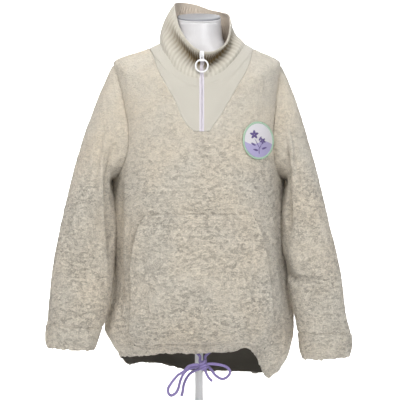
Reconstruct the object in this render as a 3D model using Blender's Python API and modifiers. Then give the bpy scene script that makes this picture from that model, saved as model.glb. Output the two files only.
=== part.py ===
"""A fleece half-zip nursing sweater with a knit yoke and rib collar, worn by a limbless dress form on a stand.

Metres, +Z up, the garment's front faces -Y, and +X is the viewer's right. The floor is z = 0.
"""

import math

import bmesh
import bpy
import numpy as np

# Named sizes
SEAM = 0.00017
FLEECE_WALL = 0.0050
KNIT_WALL = 0.0030
KNIT_DROP = 0.0012
COLLAR_WALL = 0.0035
RIB_HEIGHT = 0.0016
RIB_COUNT = 66
SQUARENESS = 0.87
ZIP_X = 0.006
ZIP_HALF = 0.0045
ZIP_GAP = 0.0003
CORD_RADIUS = 0.003
HEM_BLEND = 0.11
GATHER_COUNT = 11
GATHER_DEPTH = 0.0025


def columns(names, rows):
    values = np.array(rows, float)
    return {name: values[:, i] for i, name in enumerate(names.split())}


# Rings of the body from hem to neck. left and right are the viewer's; halves and depths are from x = 0, y = 0
BODY = columns(
    "v left_z right_z front_z back_z left_half right_half front_depth back_depth",
    (
        (0.000, 0.160, 0.124, 0.172, 0.109, 0.174, 0.176, 0.118, 0.112),
        (0.045, 0.186, 0.160, 0.196, 0.135, 0.192, 0.197, 0.136, 0.128),
        (0.110, 0.215, 0.203, 0.233, 0.180, 0.2075, 0.2055, 0.148, 0.138),
        (0.170, 0.250, 0.248, 0.272, 0.232, 0.2015, 0.2045, 0.152, 0.140),
        (0.240, 0.300, 0.300, 0.318, 0.290, 0.187, 0.194, 0.151, 0.138),
        (0.360, 0.385, 0.385, 0.395, 0.375, 0.185, 0.186, 0.148, 0.132),
        (0.500, 0.475, 0.475, 0.482, 0.470, 0.183, 0.180, 0.146, 0.128),
        (0.620, 0.545, 0.545, 0.552, 0.545, 0.179, 0.1755, 0.143, 0.124),
        (0.790, 0.672, 0.672, 0.645, 0.670, 0.180, 0.178, 0.131, 0.113),
        (0.900, 0.800, 0.798, 0.725, 0.785, 0.188, 0.180, 0.117, 0.088),
        (0.960, 0.831, 0.829, 0.745, 0.824, 0.117, 0.127, 0.111, 0.078),
        (1.000, 0.845, 0.843, 0.760, 0.842, 0.087, 0.103, 0.106, 0.070),
    ),
)

# Height rows that every body piece shares, so that seams meet point for point
ROWS = np.array(
    [0.0, 0.022, 0.045, 0.075, 0.11, 0.17, 0.24, 0.31, 0.38, 0.43, 0.48, 0.55]
    + [0.62, 0.635, 0.655, 0.685, 0.72, 0.755, 0.79, 0.82, 0.85, 0.875, 0.89, 0.90]
    + [0.92, 0.945, 0.97, 1.0]
)
UNDERARM = int(np.argmin(abs(ROWS - 0.62)))
V_BOTTOM = int(np.argmin(abs(ROWS - 0.79)))
SHOULDER_TIP = int(np.argmin(abs(ROWS - 0.90)))
V_TOP = int(np.argmin(abs(ROWS - 0.97)))

# Lift of the hem edge. angle 0 is the front centre and 90 the viewer's right
HEM_LIFT = columns(
    "angle spread lift",
    (
        (36, 14, 0.030),
        (54, 8, -0.030),
        (12, 12, 0.005),
        (-18, 12, 0.004),
        (122, 24, -0.009),
        (205, 18, 0.008),
        (246, 18, -0.018),
    ),
)

# Large soft folds of the body, out if depth is positive
BODY_FOLDS = columns(
    "angle spread lean low_v high_v depth",
    (
        (-70, 7, 10, 0.05, 0.60, -0.0060),
        (-52, 9, 6, 0.02, 0.50, 0.0035),
        (72, 7, -6, 0.04, 0.52, -0.0050),
        (84, 6, 0, 0.02, 0.40, 0.0030),
        (-34, 10, -14, 0.60, 0.86, 0.0025),
        (24, 9, 20, 0.50, 0.74, -0.0020),
        (38, 7, 10, 0.80, 0.99, 0.0030),
        (-52, 8, -10, 0.80, 0.98, 0.0025),
        (150, 12, 16, 0.10, 0.70, -0.0060),
        (178, 11, -6, 0.05, 0.62, 0.0045),
        (206, 12, -18, 0.15, 0.78, -0.0055),
        (128, 10, 4, 0.10, 0.50, 0.0040),
        (232, 10, -8, 0.10, 0.56, 0.0040),
    ),
)

# Angles from the front centre, or from the back centre round to the sides, at which the armholes cut the rings
ARMHOLE = columns(
    "v front_left front_right back_left back_right",
    (
        (0.620, 90, 90, 90, 90),
        (0.635, 78, 81, 80, 80),
        (0.655, 69, 74, 73, 73),
        (0.685, 62, 69, 67, 67),
        (0.720, 58, 66, 63, 63),
        (0.755, 57, 65, 62, 62),
        (0.790, 58, 66, 62, 62),
        (0.820, 61, 68, 64, 64),
        (0.850, 65, 72, 68, 68),
        (0.875, 72, 77, 74, 74),
        (0.890, 80, 83, 81, 81),
        (0.900, 90, 90, 90, 90),
    ),
)

# The V edge of the yoke, as distances from x = 0
V_LINE = columns(
    "height left right",
    (
        (0.645, 0.0095, 0.0215),
        (0.658, 0.0235, 0.0310),
        (0.680, 0.0375, 0.0470),
        (0.708, 0.0490, 0.0630),
        (0.743, 0.0680, 0.0825),
        (0.785, 0.0900, 0.1050),
        (0.815, 0.0990, 0.1150),
        (0.845, 0.1060, 0.1200),
    ),
)

# Rings of the sleeves from the armhole to the turned hem
SLEEVE_NAMES = "outer_x outer_z inner_x inner_z centre_y half_depth armhole_share"
SLEEVES = {
    "sleeve_left": columns(
        SLEEVE_NAMES,
        (
            (0.1880, 0.800, 0.1790, 0.5450, -0.008, 0.075, 1.00),
            (0.1985, 0.780, 0.1860, 0.5435, -0.008, 0.078, 0.86),
            (0.2095, 0.755, 0.1925, 0.5380, -0.009, 0.080, 0.66),
            (0.2220, 0.725, 0.1930, 0.5260, -0.011, 0.080, 0.46),
            (0.2345, 0.690, 0.1895, 0.5080, -0.015, 0.078, 0.30),
            (0.2470, 0.655, 0.1860, 0.4880, -0.021, 0.074, 0.17),
            (0.2595, 0.613, 0.1835, 0.4620, -0.029, 0.070, 0.07),
            (0.2720, 0.568, 0.1825, 0.4320, -0.037, 0.065, 0.00),
            (0.2840, 0.517, 0.1825, 0.4000, -0.044, 0.060, 0.00),
            (0.2955, 0.467, 0.1825, 0.3680, -0.050, 0.056, 0.00),
            (0.3055, 0.418, 0.1830, 0.3370, -0.054, 0.053, 0.00),
            (0.3140, 0.372, 0.1850, 0.3100, -0.057, 0.050, 0.00),
            (0.3200, 0.325, 0.1890, 0.2820, -0.059, 0.048, 0.00),
            (0.3245, 0.280, 0.1950, 0.2550, -0.060, 0.046, 0.00),
            (0.3280, 0.241, 0.2040, 0.2320, -0.060, 0.045, 0.00),
            (0.3320, 0.228, 0.2085, 0.2200, -0.060, 0.047, 0.00),
            (0.3325, 0.200, 0.2160, 0.1970, -0.060, 0.047, 0.00),
            (0.3290, 0.184, 0.2235, 0.1780, -0.060, 0.044, 0.00),
        ),
    ),
    "sleeve_right": columns(
        SLEEVE_NAMES,
        (
            (0.1800, 0.798, 0.1755, 0.5450, -0.008, 0.075, 1.00),
            (0.1910, 0.776, 0.1825, 0.5435, -0.008, 0.078, 0.86),
            (0.2025, 0.748, 0.1890, 0.5380, -0.009, 0.080, 0.66),
            (0.2145, 0.715, 0.1900, 0.5260, -0.011, 0.080, 0.46),
            (0.2255, 0.680, 0.1870, 0.5080, -0.014, 0.078, 0.30),
            (0.2360, 0.642, 0.1835, 0.4880, -0.019, 0.074, 0.17),
            (0.2475, 0.600, 0.1810, 0.4620, -0.026, 0.070, 0.07),
            (0.2595, 0.553, 0.1810, 0.4320, -0.033, 0.066, 0.00),
            (0.2715, 0.502, 0.1825, 0.4020, -0.040, 0.061, 0.00),
            (0.2830, 0.450, 0.1850, 0.3720, -0.046, 0.057, 0.00),
            (0.2940, 0.405, 0.1880, 0.3430, -0.050, 0.054, 0.00),
            (0.3045, 0.357, 0.1915, 0.3160, -0.053, 0.051, 0.00),
            (0.3120, 0.308, 0.1975, 0.2850, -0.055, 0.049, 0.00),
            (0.3170, 0.262, 0.2055, 0.2520, -0.056, 0.047, 0.00),
            (0.3260, 0.222, 0.2110, 0.2220, -0.056, 0.045, 0.00),
            (0.3310, 0.209, 0.2130, 0.2080, -0.056, 0.047, 0.00),
            (0.3320, 0.186, 0.2150, 0.1830, -0.056, 0.047, 0.00),
            (0.3265, 0.163, 0.2215, 0.1580, -0.056, 0.044, 0.00),
        ),
    ),
}

# Sleeve creases. turn 0 is the outer edge, 90 the front, 180 the inner edge and 270 the back; ring counts the rings
FOLD_NAMES = "first_ring first_turn last_ring last_turn spread depth"
SLEEVE_FOLDS = {
    "sleeve_left": columns(
        FOLD_NAMES,
        (
            (2.5, 112, 7.5, 150, 17, -0.0130),
            (3.0, 70, 9.0, 118, 15, -0.0075),
            (3.5, 90, 8.5, 132, 14, 0.0060),
            (9.5, 60, 11.5, 110, 16, -0.0030),
            (3.0, 262, 9.0, 236, 18, -0.0090),
            (4.0, 300, 11.0, 280, 18, 0.0050),
        ),
    ),
    "sleeve_right": columns(
        FOLD_NAMES,
        (
            (3.0, 118, 7.5, 140, 17, -0.0110),
            (2.5, 84, 6.5, 112, 15, 0.0060),
            (6.0, 150, 10.0, 132, 16, 0.0050),
            (10.2, 172, 11.6, 84, 22, -0.0080),
            (3.0, 250, 8.5, 232, 18, -0.0090),
            (5.0, 296, 12.0, 276, 18, 0.0050),
        ),
    ),
}

# The collar's rim, going round from the front centre, with how far the wall bows out and how deep it creases
COLLAR = columns(
    "angle x y z bow crease",
    (
        (0, 0.006, -0.104, 0.8175, 0.000, 0.026),
        (25, 0.033, -0.098, 0.8190, 0.004, 0.030),
        (50, 0.058, -0.074, 0.8400, 0.008, 0.024),
        (75, 0.069, -0.035, 0.8780, 0.000, 0.012),
        (100, 0.069, 0.010, 0.9080, -0.006, 0.002),
        (130, 0.054, 0.046, 0.9200, 0.002, 0.000),
        (160, 0.026, 0.064, 0.9280, 0.004, 0.000),
        (190, -0.010, 0.067, 0.9400, 0.004, 0.000),
        (220, -0.042, 0.054, 0.9430, 0.006, 0.000),
        (250, -0.056, 0.022, 0.9360, 0.009, 0.000),
        (280, -0.052, -0.020, 0.9110, 0.012, 0.004),
        (305, -0.040, -0.058, 0.8700, 0.010, 0.014),
        (335, -0.018, -0.090, 0.8340, 0.004, 0.022),
    ),
)
COLLAR_HEIGHTS = np.array([0.0, 0.20, 0.42, 0.62, 0.82, 1.0])

# The pocket, by its rows: half angles, and how far it stands off the front at its middle and at its open sides
POCKET = columns(
    "v left_angle right_angle middle left_mouth right_mouth",
    (
        (0.045, 42, 42, 0.000, 0.000, 0.000),
        (0.075, 42, 42, 0.006, 0.000, 0.000),
        (0.110, 42, 42, 0.010, 0.000, 0.004),
        (0.170, 42, 43, 0.013, 0.003, 0.014),
        (0.240, 43, 44, 0.014, 0.014, 0.017),
        (0.310, 43, 43, 0.013, 0.018, 0.018),
        (0.380, 41, 41, 0.011, 0.017, 0.017),
        (0.430, 39, 39, 0.006, 0.012, 0.012),
        (0.480, 35, 36, 0.000, 0.000, 0.000),
    ),
)

# The round patch on the front, by its centre and half sizes as seen from the front
PATCH = {"x": 0.1255, "z": 0.6265, "half_width": 0.0335, "half_height": 0.0405, "wall": 0.0020}
LAID_ON = 0.0009

# Rings of the dress form from its underside to the neck
FORM = columns(
    "z half_width front_depth back_depth",
    (
        (0.200, 0.148, 0.094, 0.084),
        (0.206, 0.156, 0.101, 0.091),
        (0.225, 0.161, 0.105, 0.095),
        (0.300, 0.162, 0.108, 0.100),
        (0.390, 0.144, 0.098, 0.088),
        (0.470, 0.130, 0.090, 0.076),
        (0.550, 0.138, 0.096, 0.084),
        (0.630, 0.152, 0.106, 0.092),
        (0.700, 0.161, 0.100, 0.088),
        (0.745, 0.163, 0.088, 0.078),
        (0.7765, 0.154, 0.068, 0.064),
        (0.7967, 0.136, 0.054, 0.056),
        (0.8117, 0.112, 0.049, 0.053),
        (0.8235, 0.086, 0.050, 0.053),
        (0.838, 0.062, 0.051, 0.052),
        (0.860, 0.051, 0.049, 0.050),
        (0.900, 0.048, 0.048, 0.048),
    ),
)
NECK_SLANT = 0.27
CAP_THICKNESS = 0.004
STAND = {"base_radius": 0.165, "base_height": 0.014, "pole_radius": 0.009}

# The bow of the drawstring. way is the knot's face that a cord leaves by, and behind is from the bow's front plane
BOW_FRONT = -0.126
BOW = {
    "bow_left_loop": {
        "way": (-0.80, -0.55, 0.20),
        "path": (
            (-0.0210, 0.1490, 0.001),
            (-0.0317, 0.1385, 0.000),
            (-0.0444, 0.1300, 0.000),
            (-0.0571, 0.1153, 0.001),
            (-0.0655, 0.1005, 0.002),
            (-0.0634, 0.0899, 0.004),
            (-0.0579, 0.0867, 0.006),
            (-0.0486, 0.0920, 0.008),
            (-0.0433, 0.1026, 0.009),
            (-0.0400, 0.1153, 0.009),
            (-0.0359, 0.1258, 0.010),
            (-0.0305, 0.1343, 0.011),
            (-0.0215, 0.1415, 0.012),
        ),
        "way_back": (-0.80, 0.50, -0.30),
    },
    "bow_left_tail": {
        "way": (-0.25, 0.75, -0.60),
        "path": (
            (-0.0080, 0.1375, 0.0205),
            (-0.0200, 0.1300, 0.0205),
            (-0.0285, 0.1174, 0.020),
            (-0.0325, 0.1068, 0.019),
            (-0.0345, 0.0940, 0.018),
            (-0.0372, 0.0836, 0.017),
        ),
    },
    "bow_right_loop": {
        "way": (0.80, -0.50, 0.35),
        "path": (
            (0.0338, 0.1535, 0.001),
            (0.0507, 0.1505, 0.001),
            (0.0613, 0.1450, 0.001),
            (0.0655, 0.1351, 0.002),
            (0.0592, 0.1258, 0.004),
            (0.0507, 0.1216, 0.006),
            (0.0423, 0.1237, 0.008),
            (0.0330, 0.1310, 0.010),
            (0.0268, 0.1395, 0.012),
        ),
        "way_back": (0.80, 0.45, -0.35),
    },
    "bow_right_tail": {
        "way": (0.35, 0.00, -0.95),
        "path": (
            (0.0175, 0.1290, 0.008),
            (0.0220, 0.1225, 0.008),
            (0.0280, 0.1165, 0.008),
        ),
    },
}
LEADS = {
    "cord_left": {"way": (-0.35, 0.75, 0.55), "hole_x": -0.014},
    "cord_right": {"way": (0.35, 0.75, 0.55), "hole_x": 0.030},
}
HOLE_ROW = 0.03
KNOT = {"x": 0.0078, "z": 0.1500, "behind": 0.008, "half": (0.0108, 0.0088, 0.0086)}

# The zip's slider and pull, by the pull's hinge
SLIDER = {"width": 0.0095, "depth": 0.0036, "low_z": 0.8035, "high_z": 0.8165}
PULL = {"hinge_z": 0.8058, "ring_z": 0.7850, "ring_radius": 0.0131, "wire_radius": 0.0018}

COLOURS = {
    "fleece": (0.64, 0.58, 0.47),
    "knit": (0.76, 0.72, 0.62),
    "rib": (0.68, 0.64, 0.55),
    "zip": (0.84, 0.79, 0.84),
    "metal": (0.86, 0.86, 0.86),
    "patch": (0.62, 0.56, 0.76),
    "cord": (0.20, 0.15, 0.36),
    "form": (0.80, 0.79, 0.79),
    "cap": (0.62, 0.63, 0.64),
    "stand": (0.80, 0.80, 0.80),
}


def smooth(at, xs, ys):
    """A monotone cubic through the table's points."""
    at = np.clip(at, xs[0], xs[-1])
    step = np.diff(xs)
    rise = np.diff(ys) / step
    slope = np.concatenate([[rise[0]], np.zeros(len(xs) - 2), [rise[-1]]])
    same = rise[:-1] * rise[1:] > 0
    before = 2 * step[1:] + step[:-1]
    after = step[1:] + 2 * step[:-1]
    with np.errstate(divide="ignore", invalid="ignore"):
        mean = (before + after) / (before / rise[:-1] + after / rise[1:])
    slope[1:-1] = np.where(same, mean, 0.0)
    i = np.clip(np.searchsorted(xs, at, side="right") - 1, 0, len(xs) - 2)
    t = (at - xs[i]) / step[i]
    value = ys[i] * (1 + 2 * t) * (1 - t) ** 2 + ys[i + 1] * t**2 * (3 - 2 * t)
    return value + step[i] * t * (1 - t) * (slope[i] * (1 - t) - slope[i + 1] * t)


def around(angle, angles, values):
    """A smooth closed curve through values given at angles in degrees."""
    xs = np.concatenate([angles[-3:] - 360, angles, angles[:3] + 360])
    ys = np.concatenate([values[-3:], values, values[:3]])
    angle = np.mod(angle, 360)
    i = np.clip(np.searchsorted(xs, angle, side="right") - 1, 1, len(xs) - 3)
    slope = np.zeros(len(xs))
    slope[1:-1] = (ys[2:] - ys[:-2]) / (xs[2:] - xs[:-2])
    step = xs[i + 1] - xs[i]
    t = (angle - xs[i]) / step
    value = ys[i] * (1 + 2 * t) * (1 - t) ** 2 + ys[i + 1] * t**2 * (3 - 2 * t)
    return value + step * t * (1 - t) * (slope[i] * (1 - t) - slope[i + 1] * t)


def unit(vectors):
    return vectors / np.maximum(np.linalg.norm(vectors, axis=-1, keepdims=True), 1e-12)


def apart(angle, centre):
    return np.mod(angle - centre + 180, 360) - 180


def window(value, low, high):
    """1 inside low to high, easing to 0 at both ends."""
    t = np.clip((value - low) / (high - low), 0, 1)
    return np.sin(math.pi * t) ** 0.7


def body(theta, v):
    """Points of the body's outer surface at angles in degrees and heights v from 0 at the hem to 1 at the neck."""
    theta, v = np.broadcast_arrays(np.asarray(theta, float), np.asarray(v, float))
    at = {name: smooth(v, BODY["v"], values) for name, values in BODY.items()}
    s = np.sin(np.radians(theta))
    c = np.cos(np.radians(theta))
    half = np.where(s < 0, at["left_half"], at["right_half"])
    side_z = np.where(s < 0, at["left_z"], at["right_z"])
    depth = np.where(c > 0, at["front_depth"], at["back_depth"])
    end_z = np.where(c > 0, at["front_z"], at["back_z"])
    x = half * np.sign(s) * np.abs(s) ** SQUARENESS
    y = -depth * np.sign(c) * np.abs(c) ** SQUARENESS
    z = side_z * s**2 + end_z * c**2
    near_hem = np.clip(1 - v / HEM_BLEND, 0, 1) ** 2
    for angle, spread, lift in zip(*HEM_LIFT.values()):
        z = z + lift * near_hem * np.exp(-((apart(theta, angle) / spread) ** 2))
    out = GATHER_DEPTH * np.cos(np.radians(theta * GATHER_COUNT)) * window(v, -0.02, 0.12)
    for angle, spread, lean, low, high, fold in zip(*BODY_FOLDS.values()):
        middle = angle + lean * (v - (low + high) / 2)
        out = out + fold * np.exp(-((apart(theta, middle) / spread) ** 2)) * window(v, low, high)
    return np.stack([x + out * s, y - out * c, z], axis=-1)


def body_normal(theta, v):
    theta, v = np.broadcast_arrays(np.asarray(theta, float), np.asarray(v, float))
    across = body(theta + 0.8, v) - body(theta - 0.8, v)
    along = body(theta, np.minimum(v + 0.005, 1)) - body(theta, np.maximum(v - 0.005, 0))
    return unit(np.cross(across, along))


def angle_at_x(x, v):
    """The front angle at which the ring v reaches x."""
    side = "left_half" if x < 0 else "right_half"
    half = smooth(v, BODY["v"], BODY[side])
    return math.copysign(1, x) * np.degrees(np.arcsin((abs(x) / half) ** (1 / SQUARENESS)))


def v_line_angle(side, v):
    """The angle at which the ring v crosses the yoke's V edge, on the left (-1) or the right (1)."""
    angles = side * np.linspace(0.2, 90, 600)
    points = body(angles, v)
    edge = smooth(points[:, 2], V_LINE["height"], V_LINE["left" if side < 0 else "right"])
    over = np.abs(points[:, 0]) - edge
    found = np.flatnonzero(over >= 0)
    if not len(found):
        return 90.0
    i = max(found[0], 1)
    return abs(angles[i - 1] + (angles[i] - angles[i - 1]) * over[i - 1] / (over[i - 1] - over[i]))


def mitre(first, second):
    """The direction that crosses a seam between two walls, at the length that keeps their thickness."""
    both = first + second
    length = np.clip(1 + (first * second).sum(-1, keepdims=True), 0.9, 2)
    return both / length


def grid_normals(points, closed=False):
    """Normals of a grid of rows and columns, out for columns that turn from front to right while rows rise."""
    if closed:
        across = np.roll(points, -1, axis=1) - np.roll(points, 1, axis=1)
    else:
        across = np.gradient(points, axis=1)
    return unit(np.cross(across, np.gradient(points, axis=0)))


def material(name):
    made = bpy.data.materials.new(name)
    made.use_nodes = True
    shader = made.node_tree.nodes["Principled BSDF"]
    shader.inputs["Base Color"].default_value = (*COLOURS[name.split(".")[0]], 1)
    shader.inputs["Roughness"].default_value = 0.3 if name.startswith(("metal", "form")) else 0.9
    made.diffuse_color = (*COLOURS[name.split(".")[0]], 1)
    return made


def add(name, data, colour):
    """An object of its own material, shaded smooth but for its edges."""
    data.materials.append(material(f"{colour}.{name}"))
    if isinstance(data, bpy.types.Mesh):
        data.shade_smooth()
        data.set_sharp_from_angle(angle=math.radians(40))
    obj = bpy.data.objects.new(name, data)
    COLLECTION.objects.link(obj)
    return obj


def solid(name, points, faces, colour):
    """One closed mesh, with points that coincide made one, turned so that its faces look out."""
    points = np.asarray(points, float).reshape(-1, 3)
    _, first, index = np.unique(np.round(points / 1e-7), axis=0, return_index=True, return_inverse=True)
    index = index.reshape(-1)
    kept = []
    for face in faces:
        ring = [int(index[i]) for i in face]
        ring = [a for a, b in zip(ring, ring[1:] + ring[:1]) if a != b]
        if len(set(ring)) > 2:
            kept.append(ring)
    points = points[first]
    volume = 0.0
    for ring in kept:
        for i in range(1, len(ring) - 1):
            volume += np.dot(points[ring[0]], np.cross(points[ring[i]], points[ring[i + 1]]))
    if volume < 0:
        kept = [ring[::-1] for ring in kept]
    mesh = bpy.data.meshes.new(name)
    mesh.from_pydata(points.tolist(), [], kept)
    mesh.update()
    return add(name, mesh, colour)


def wall(name, outer, inner, colour, keep=None, closed=False):
    """A cloth wall between an outer and an inner grid, with a rim round its edges, split alike on both sides of a seam."""
    rows, across = outer.shape[:2]
    points = np.concatenate([outer.reshape(-1, 3), inner.reshape(-1, 3)])
    cells = across if closed else across - 1
    if keep is None:
        keep = np.ones((rows - 1, cells), bool)
    shift = rows * across
    faces = []
    edges = {}
    for r, c in zip(*np.nonzero(keep)):
        right = (c + 1) % across
        ring = [r * across + c, r * across + right, (r + 1) * across + right, (r + 1) * across + c]
        faces.append(ring)
        faces.append([i + shift for i in ring[::-1]])
        for a, b in zip(ring, ring[1:] + ring[:1]):
            edges[(a, b)] = True
    for a, b in edges:
        if (b, a) in edges:
            continue
        if points[a, 2] + 0.1 * points[a, 0] < points[b, 2] + 0.1 * points[b, 0]:
            faces.extend([[b, a, a + shift], [b, a + shift, b + shift]])
        else:
            faces.extend([[b, a, b + shift], [a, a + shift, b + shift]])
    return solid(name, points, faces, colour)


def loft(name, rings, colour):
    """A closed body through rings, with flat ends."""
    rows, across = rings.shape[:2]
    faces = [list(range(across)), list(range(rows * across - 1, (rows - 1) * across - 1, -1))]
    for r in range(rows - 1):
        for c in range(across):
            right = (c + 1) % across
            low = r * across
            high = low + across
            faces.append([low + right, low + c, high + c, high + right])
    return solid(name, rings, faces, colour)


def draw_back(outer, inner, edge, inside, amount=SEAM):
    """Moves a seam's edge points square to the seam, toward the points inside them."""
    step = unit(outer[inside] - outer[edge])
    seam = unit(np.gradient(outer[edge], axis=0))
    step = unit(step - seam * (step * seam).sum(-1, keepdims=True)) * amount
    outer[edge] += step
    inner[edge] += step


def armhole_angles(v):
    found = {name: smooth(v, ARMHOLE["v"], values) for name, values in ARMHOLE.items()}
    return found["front_left"], found["front_right"], found["back_left"], found["back_right"]


def sleeve_grid(name, side):
    """Rings of one sleeve from its armhole down, and the armhole's angles."""
    table = SLEEVES[name]
    v = ROWS[UNDERARM : SHOULDER_TIP + 1][::-1]
    front_left, front_right, back_left, back_right = armhole_angles(v)
    front = -front_left if side < 0 else front_right
    back = back_left - 180 if side < 0 else 180 - back_right
    angles = np.concatenate([front, back[::-1][1:-1]])
    heights = np.concatenate([v, v[::-1][1:-1]])
    armhole = body(angles, heights)
    half = len(v) - 1
    lengths = np.linalg.norm(np.diff(armhole, axis=0, append=armhole[:1]), axis=1)
    front_part = np.cumsum(lengths[:half]) / lengths[:half].sum() * 180
    back_part = 180 + np.cumsum(lengths[half:]) / lengths[half:].sum() * 180
    turn = np.concatenate([[0], front_part, back_part[:-1]])
    rings = []
    for outer_x, outer_z, inner_x, inner_z, centre_y, half_depth, share in zip(*table.values()):
        c = np.cos(np.radians(turn))
        s = np.sin(np.radians(turn))
        x = side * ((outer_x + inner_x) / 2 + (outer_x - inner_x) / 2 * c)
        z = (outer_z + inner_z) / 2 + (outer_z - inner_z) / 2 * c
        y = centre_y - half_depth * np.sign(s) * np.abs(s) ** 0.9
        ring = np.stack([x, y, z], axis=-1)
        if not rings:
            difference = armhole - ring
        rings.append(ring + difference * share)
    rings = np.array(rings)
    number = np.arange(len(rings))[:, None]
    away = side * grid_normals(rings, closed=True)
    out = np.zeros(rings.shape[:2])
    for first, first_turn, last, last_turn, spread, depth in zip(*SLEEVE_FOLDS[name].values()):
        share = np.clip((number - first) / (last - first), 0, 1)
        middle = first_turn + (last_turn - first_turn) * share
        off = apart(turn[None, :], middle)
        out += depth * np.exp(-((off / spread) ** 2)) * window(number, first - 1.5, last + 1.5)
    out[0] = 0
    rings = rings + away * out[..., None]
    normals = side * grid_normals(rings, closed=True)
    return rings, normals, angles, heights


def sleeve(name, side):
    """Builds a sleeve and gives back the seam directions at its armhole, by point."""
    outer, normals, angles, heights = sleeve_grid(name, side)
    crossing = mitre(body_normal(angles, heights), normals[0])
    directions = normals.copy()
    directions[0] = crossing
    inner = outer - directions * FLEECE_WALL
    draw_back(outer, inner, np.s_[0], np.s_[1])
    wall(name, outer, inner, "fleece", closed=True)
    return crossing


def armhole_edges(inner, outer, crossing, front, side_column, side):
    """Gives a panel's armhole edge the same seam directions as the sleeve has."""
    half = SHOULDER_TIP - UNDERARM
    for i in range(half + 1):
        row = SHOULDER_TIP - i
        at = i if front else (-i) % (2 * half)
        inner[row, side_column] = outer[row, side_column] - crossing[at] * FLEECE_WALL


def collar_rim(angle):
    names = ("x", "y", "z")
    return np.stack([around(angle, COLLAR["angle"], COLLAR[name]) for name in names], axis=-1)


def collar_point(base, base_angle, rim_angle, height):
    """A point of the collar at a height from 0 at the neck seam to 1 at the rim."""
    angle = base_angle + (rim_angle - base_angle) * height
    bow = around(angle, COLLAR["angle"], COLLAR["bow"])
    crease = around(angle, COLLAR["angle"], COLLAR["crease"])
    out = bow * np.sin(math.pi * height)
    dent = np.exp(-(((height - 0.56) / 0.24) ** 2)) * np.minimum(1, 5 * height * (1 - height))
    out = out - crease * dent
    way = np.stack([np.sin(np.radians(angle)), -np.cos(np.radians(angle)), 0 * angle], axis=-1)
    straight = base + (collar_rim(rim_angle) - base) * height[..., None]
    return straight + way * out[..., None]


def on_front(x, z):
    """Angle and height of the front's point that is seen at x, z from the front."""
    v = np.full(np.shape(x), 0.75)
    theta = np.zeros(np.shape(x))
    for _ in range(60):
        point = body(theta, v)
        slope_x = (body(theta + 0.5, v)[..., 0] - point[..., 0]) / 0.5
        slope_z = (body(theta, v + 0.01)[..., 2] - point[..., 2]) / 0.01
        theta = np.clip(theta + 0.7 * (x - point[..., 0]) / np.maximum(slope_x, 5e-4), -85, 85)
        v = np.clip(v + 0.7 * (z - point[..., 2]) / slope_z, 0, 0.98)
    return theta, v


def smooth_path(points, count):
    """Points spaced evenly on a smooth curve through the given ones."""
    points = np.asarray(points, float)
    along = np.concatenate([[0], np.cumsum(np.linalg.norm(np.diff(points, axis=0), axis=1))])
    padded = np.concatenate([[2 * points[0] - points[1]], points, [2 * points[-1] - points[-2]]])
    steps = np.diff(along)
    steps = np.concatenate([[steps[0]], steps, [steps[-1]]])
    slopes = (padded[2:] - padded[:-2]) / (steps[1:] + steps[:-1])[:, None]
    at = np.linspace(0, along[-1], count)
    i = np.clip(np.searchsorted(along, at, side="right") - 1, 0, len(along) - 2)
    step = (along[i + 1] - along[i])[:, None]
    t = (at[:, None] - along[i][:, None]) / step
    value = points[i] * (1 + 2 * t) * (1 - t) ** 2 + points[i + 1] * t**2 * (3 - 2 * t)
    return value + step * t * (1 - t) * (slopes[i] * (1 - t) - slopes[i + 1] * t)


def cord_curve(name, points, radius):
    """A round cord as one open spline with filled ends."""
    curve = bpy.data.curves.new(name, "CURVE")
    curve.dimensions = "3D"
    curve.bevel_depth = radius
    curve.bevel_resolution = 2
    curve.use_fill_caps = True
    spline = curve.splines.new("POLY")
    spline.points.add(len(points) - 1)
    for made, point in zip(spline.points, points):
        made.co = (*point, 1)
    return curve


def box_mesh(name, low, high):
    """A box between two corners."""
    work = bmesh.new()
    bmesh.ops.create_cube(work, size=1)
    bmesh.ops.scale(work, vec=np.subtract(high, low).tolist(), verts=work.verts)
    bmesh.ops.translate(work, vec=(np.add(high, low) / 2).tolist(), verts=work.verts)
    mesh = bpy.data.meshes.new(name)
    work.to_mesh(mesh)
    work.free()
    return mesh


def hide(obj, name):
    """Keeps a Boolean's other shape out of sight, in the collection of the cutters."""
    obj.name = name
    for collection in obj.users_collection:
        collection.objects.unlink(obj)
    CUTTERS.objects.link(obj)
    obj.hide_render = True
    obj.display_type = "WIRE"
    return obj


def boolean(obj, other, operation):
    made = obj.modifiers.new(other.name, "BOOLEAN")
    made.operation = operation
    made.solver = "EXACT"
    made.object = other


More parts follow.
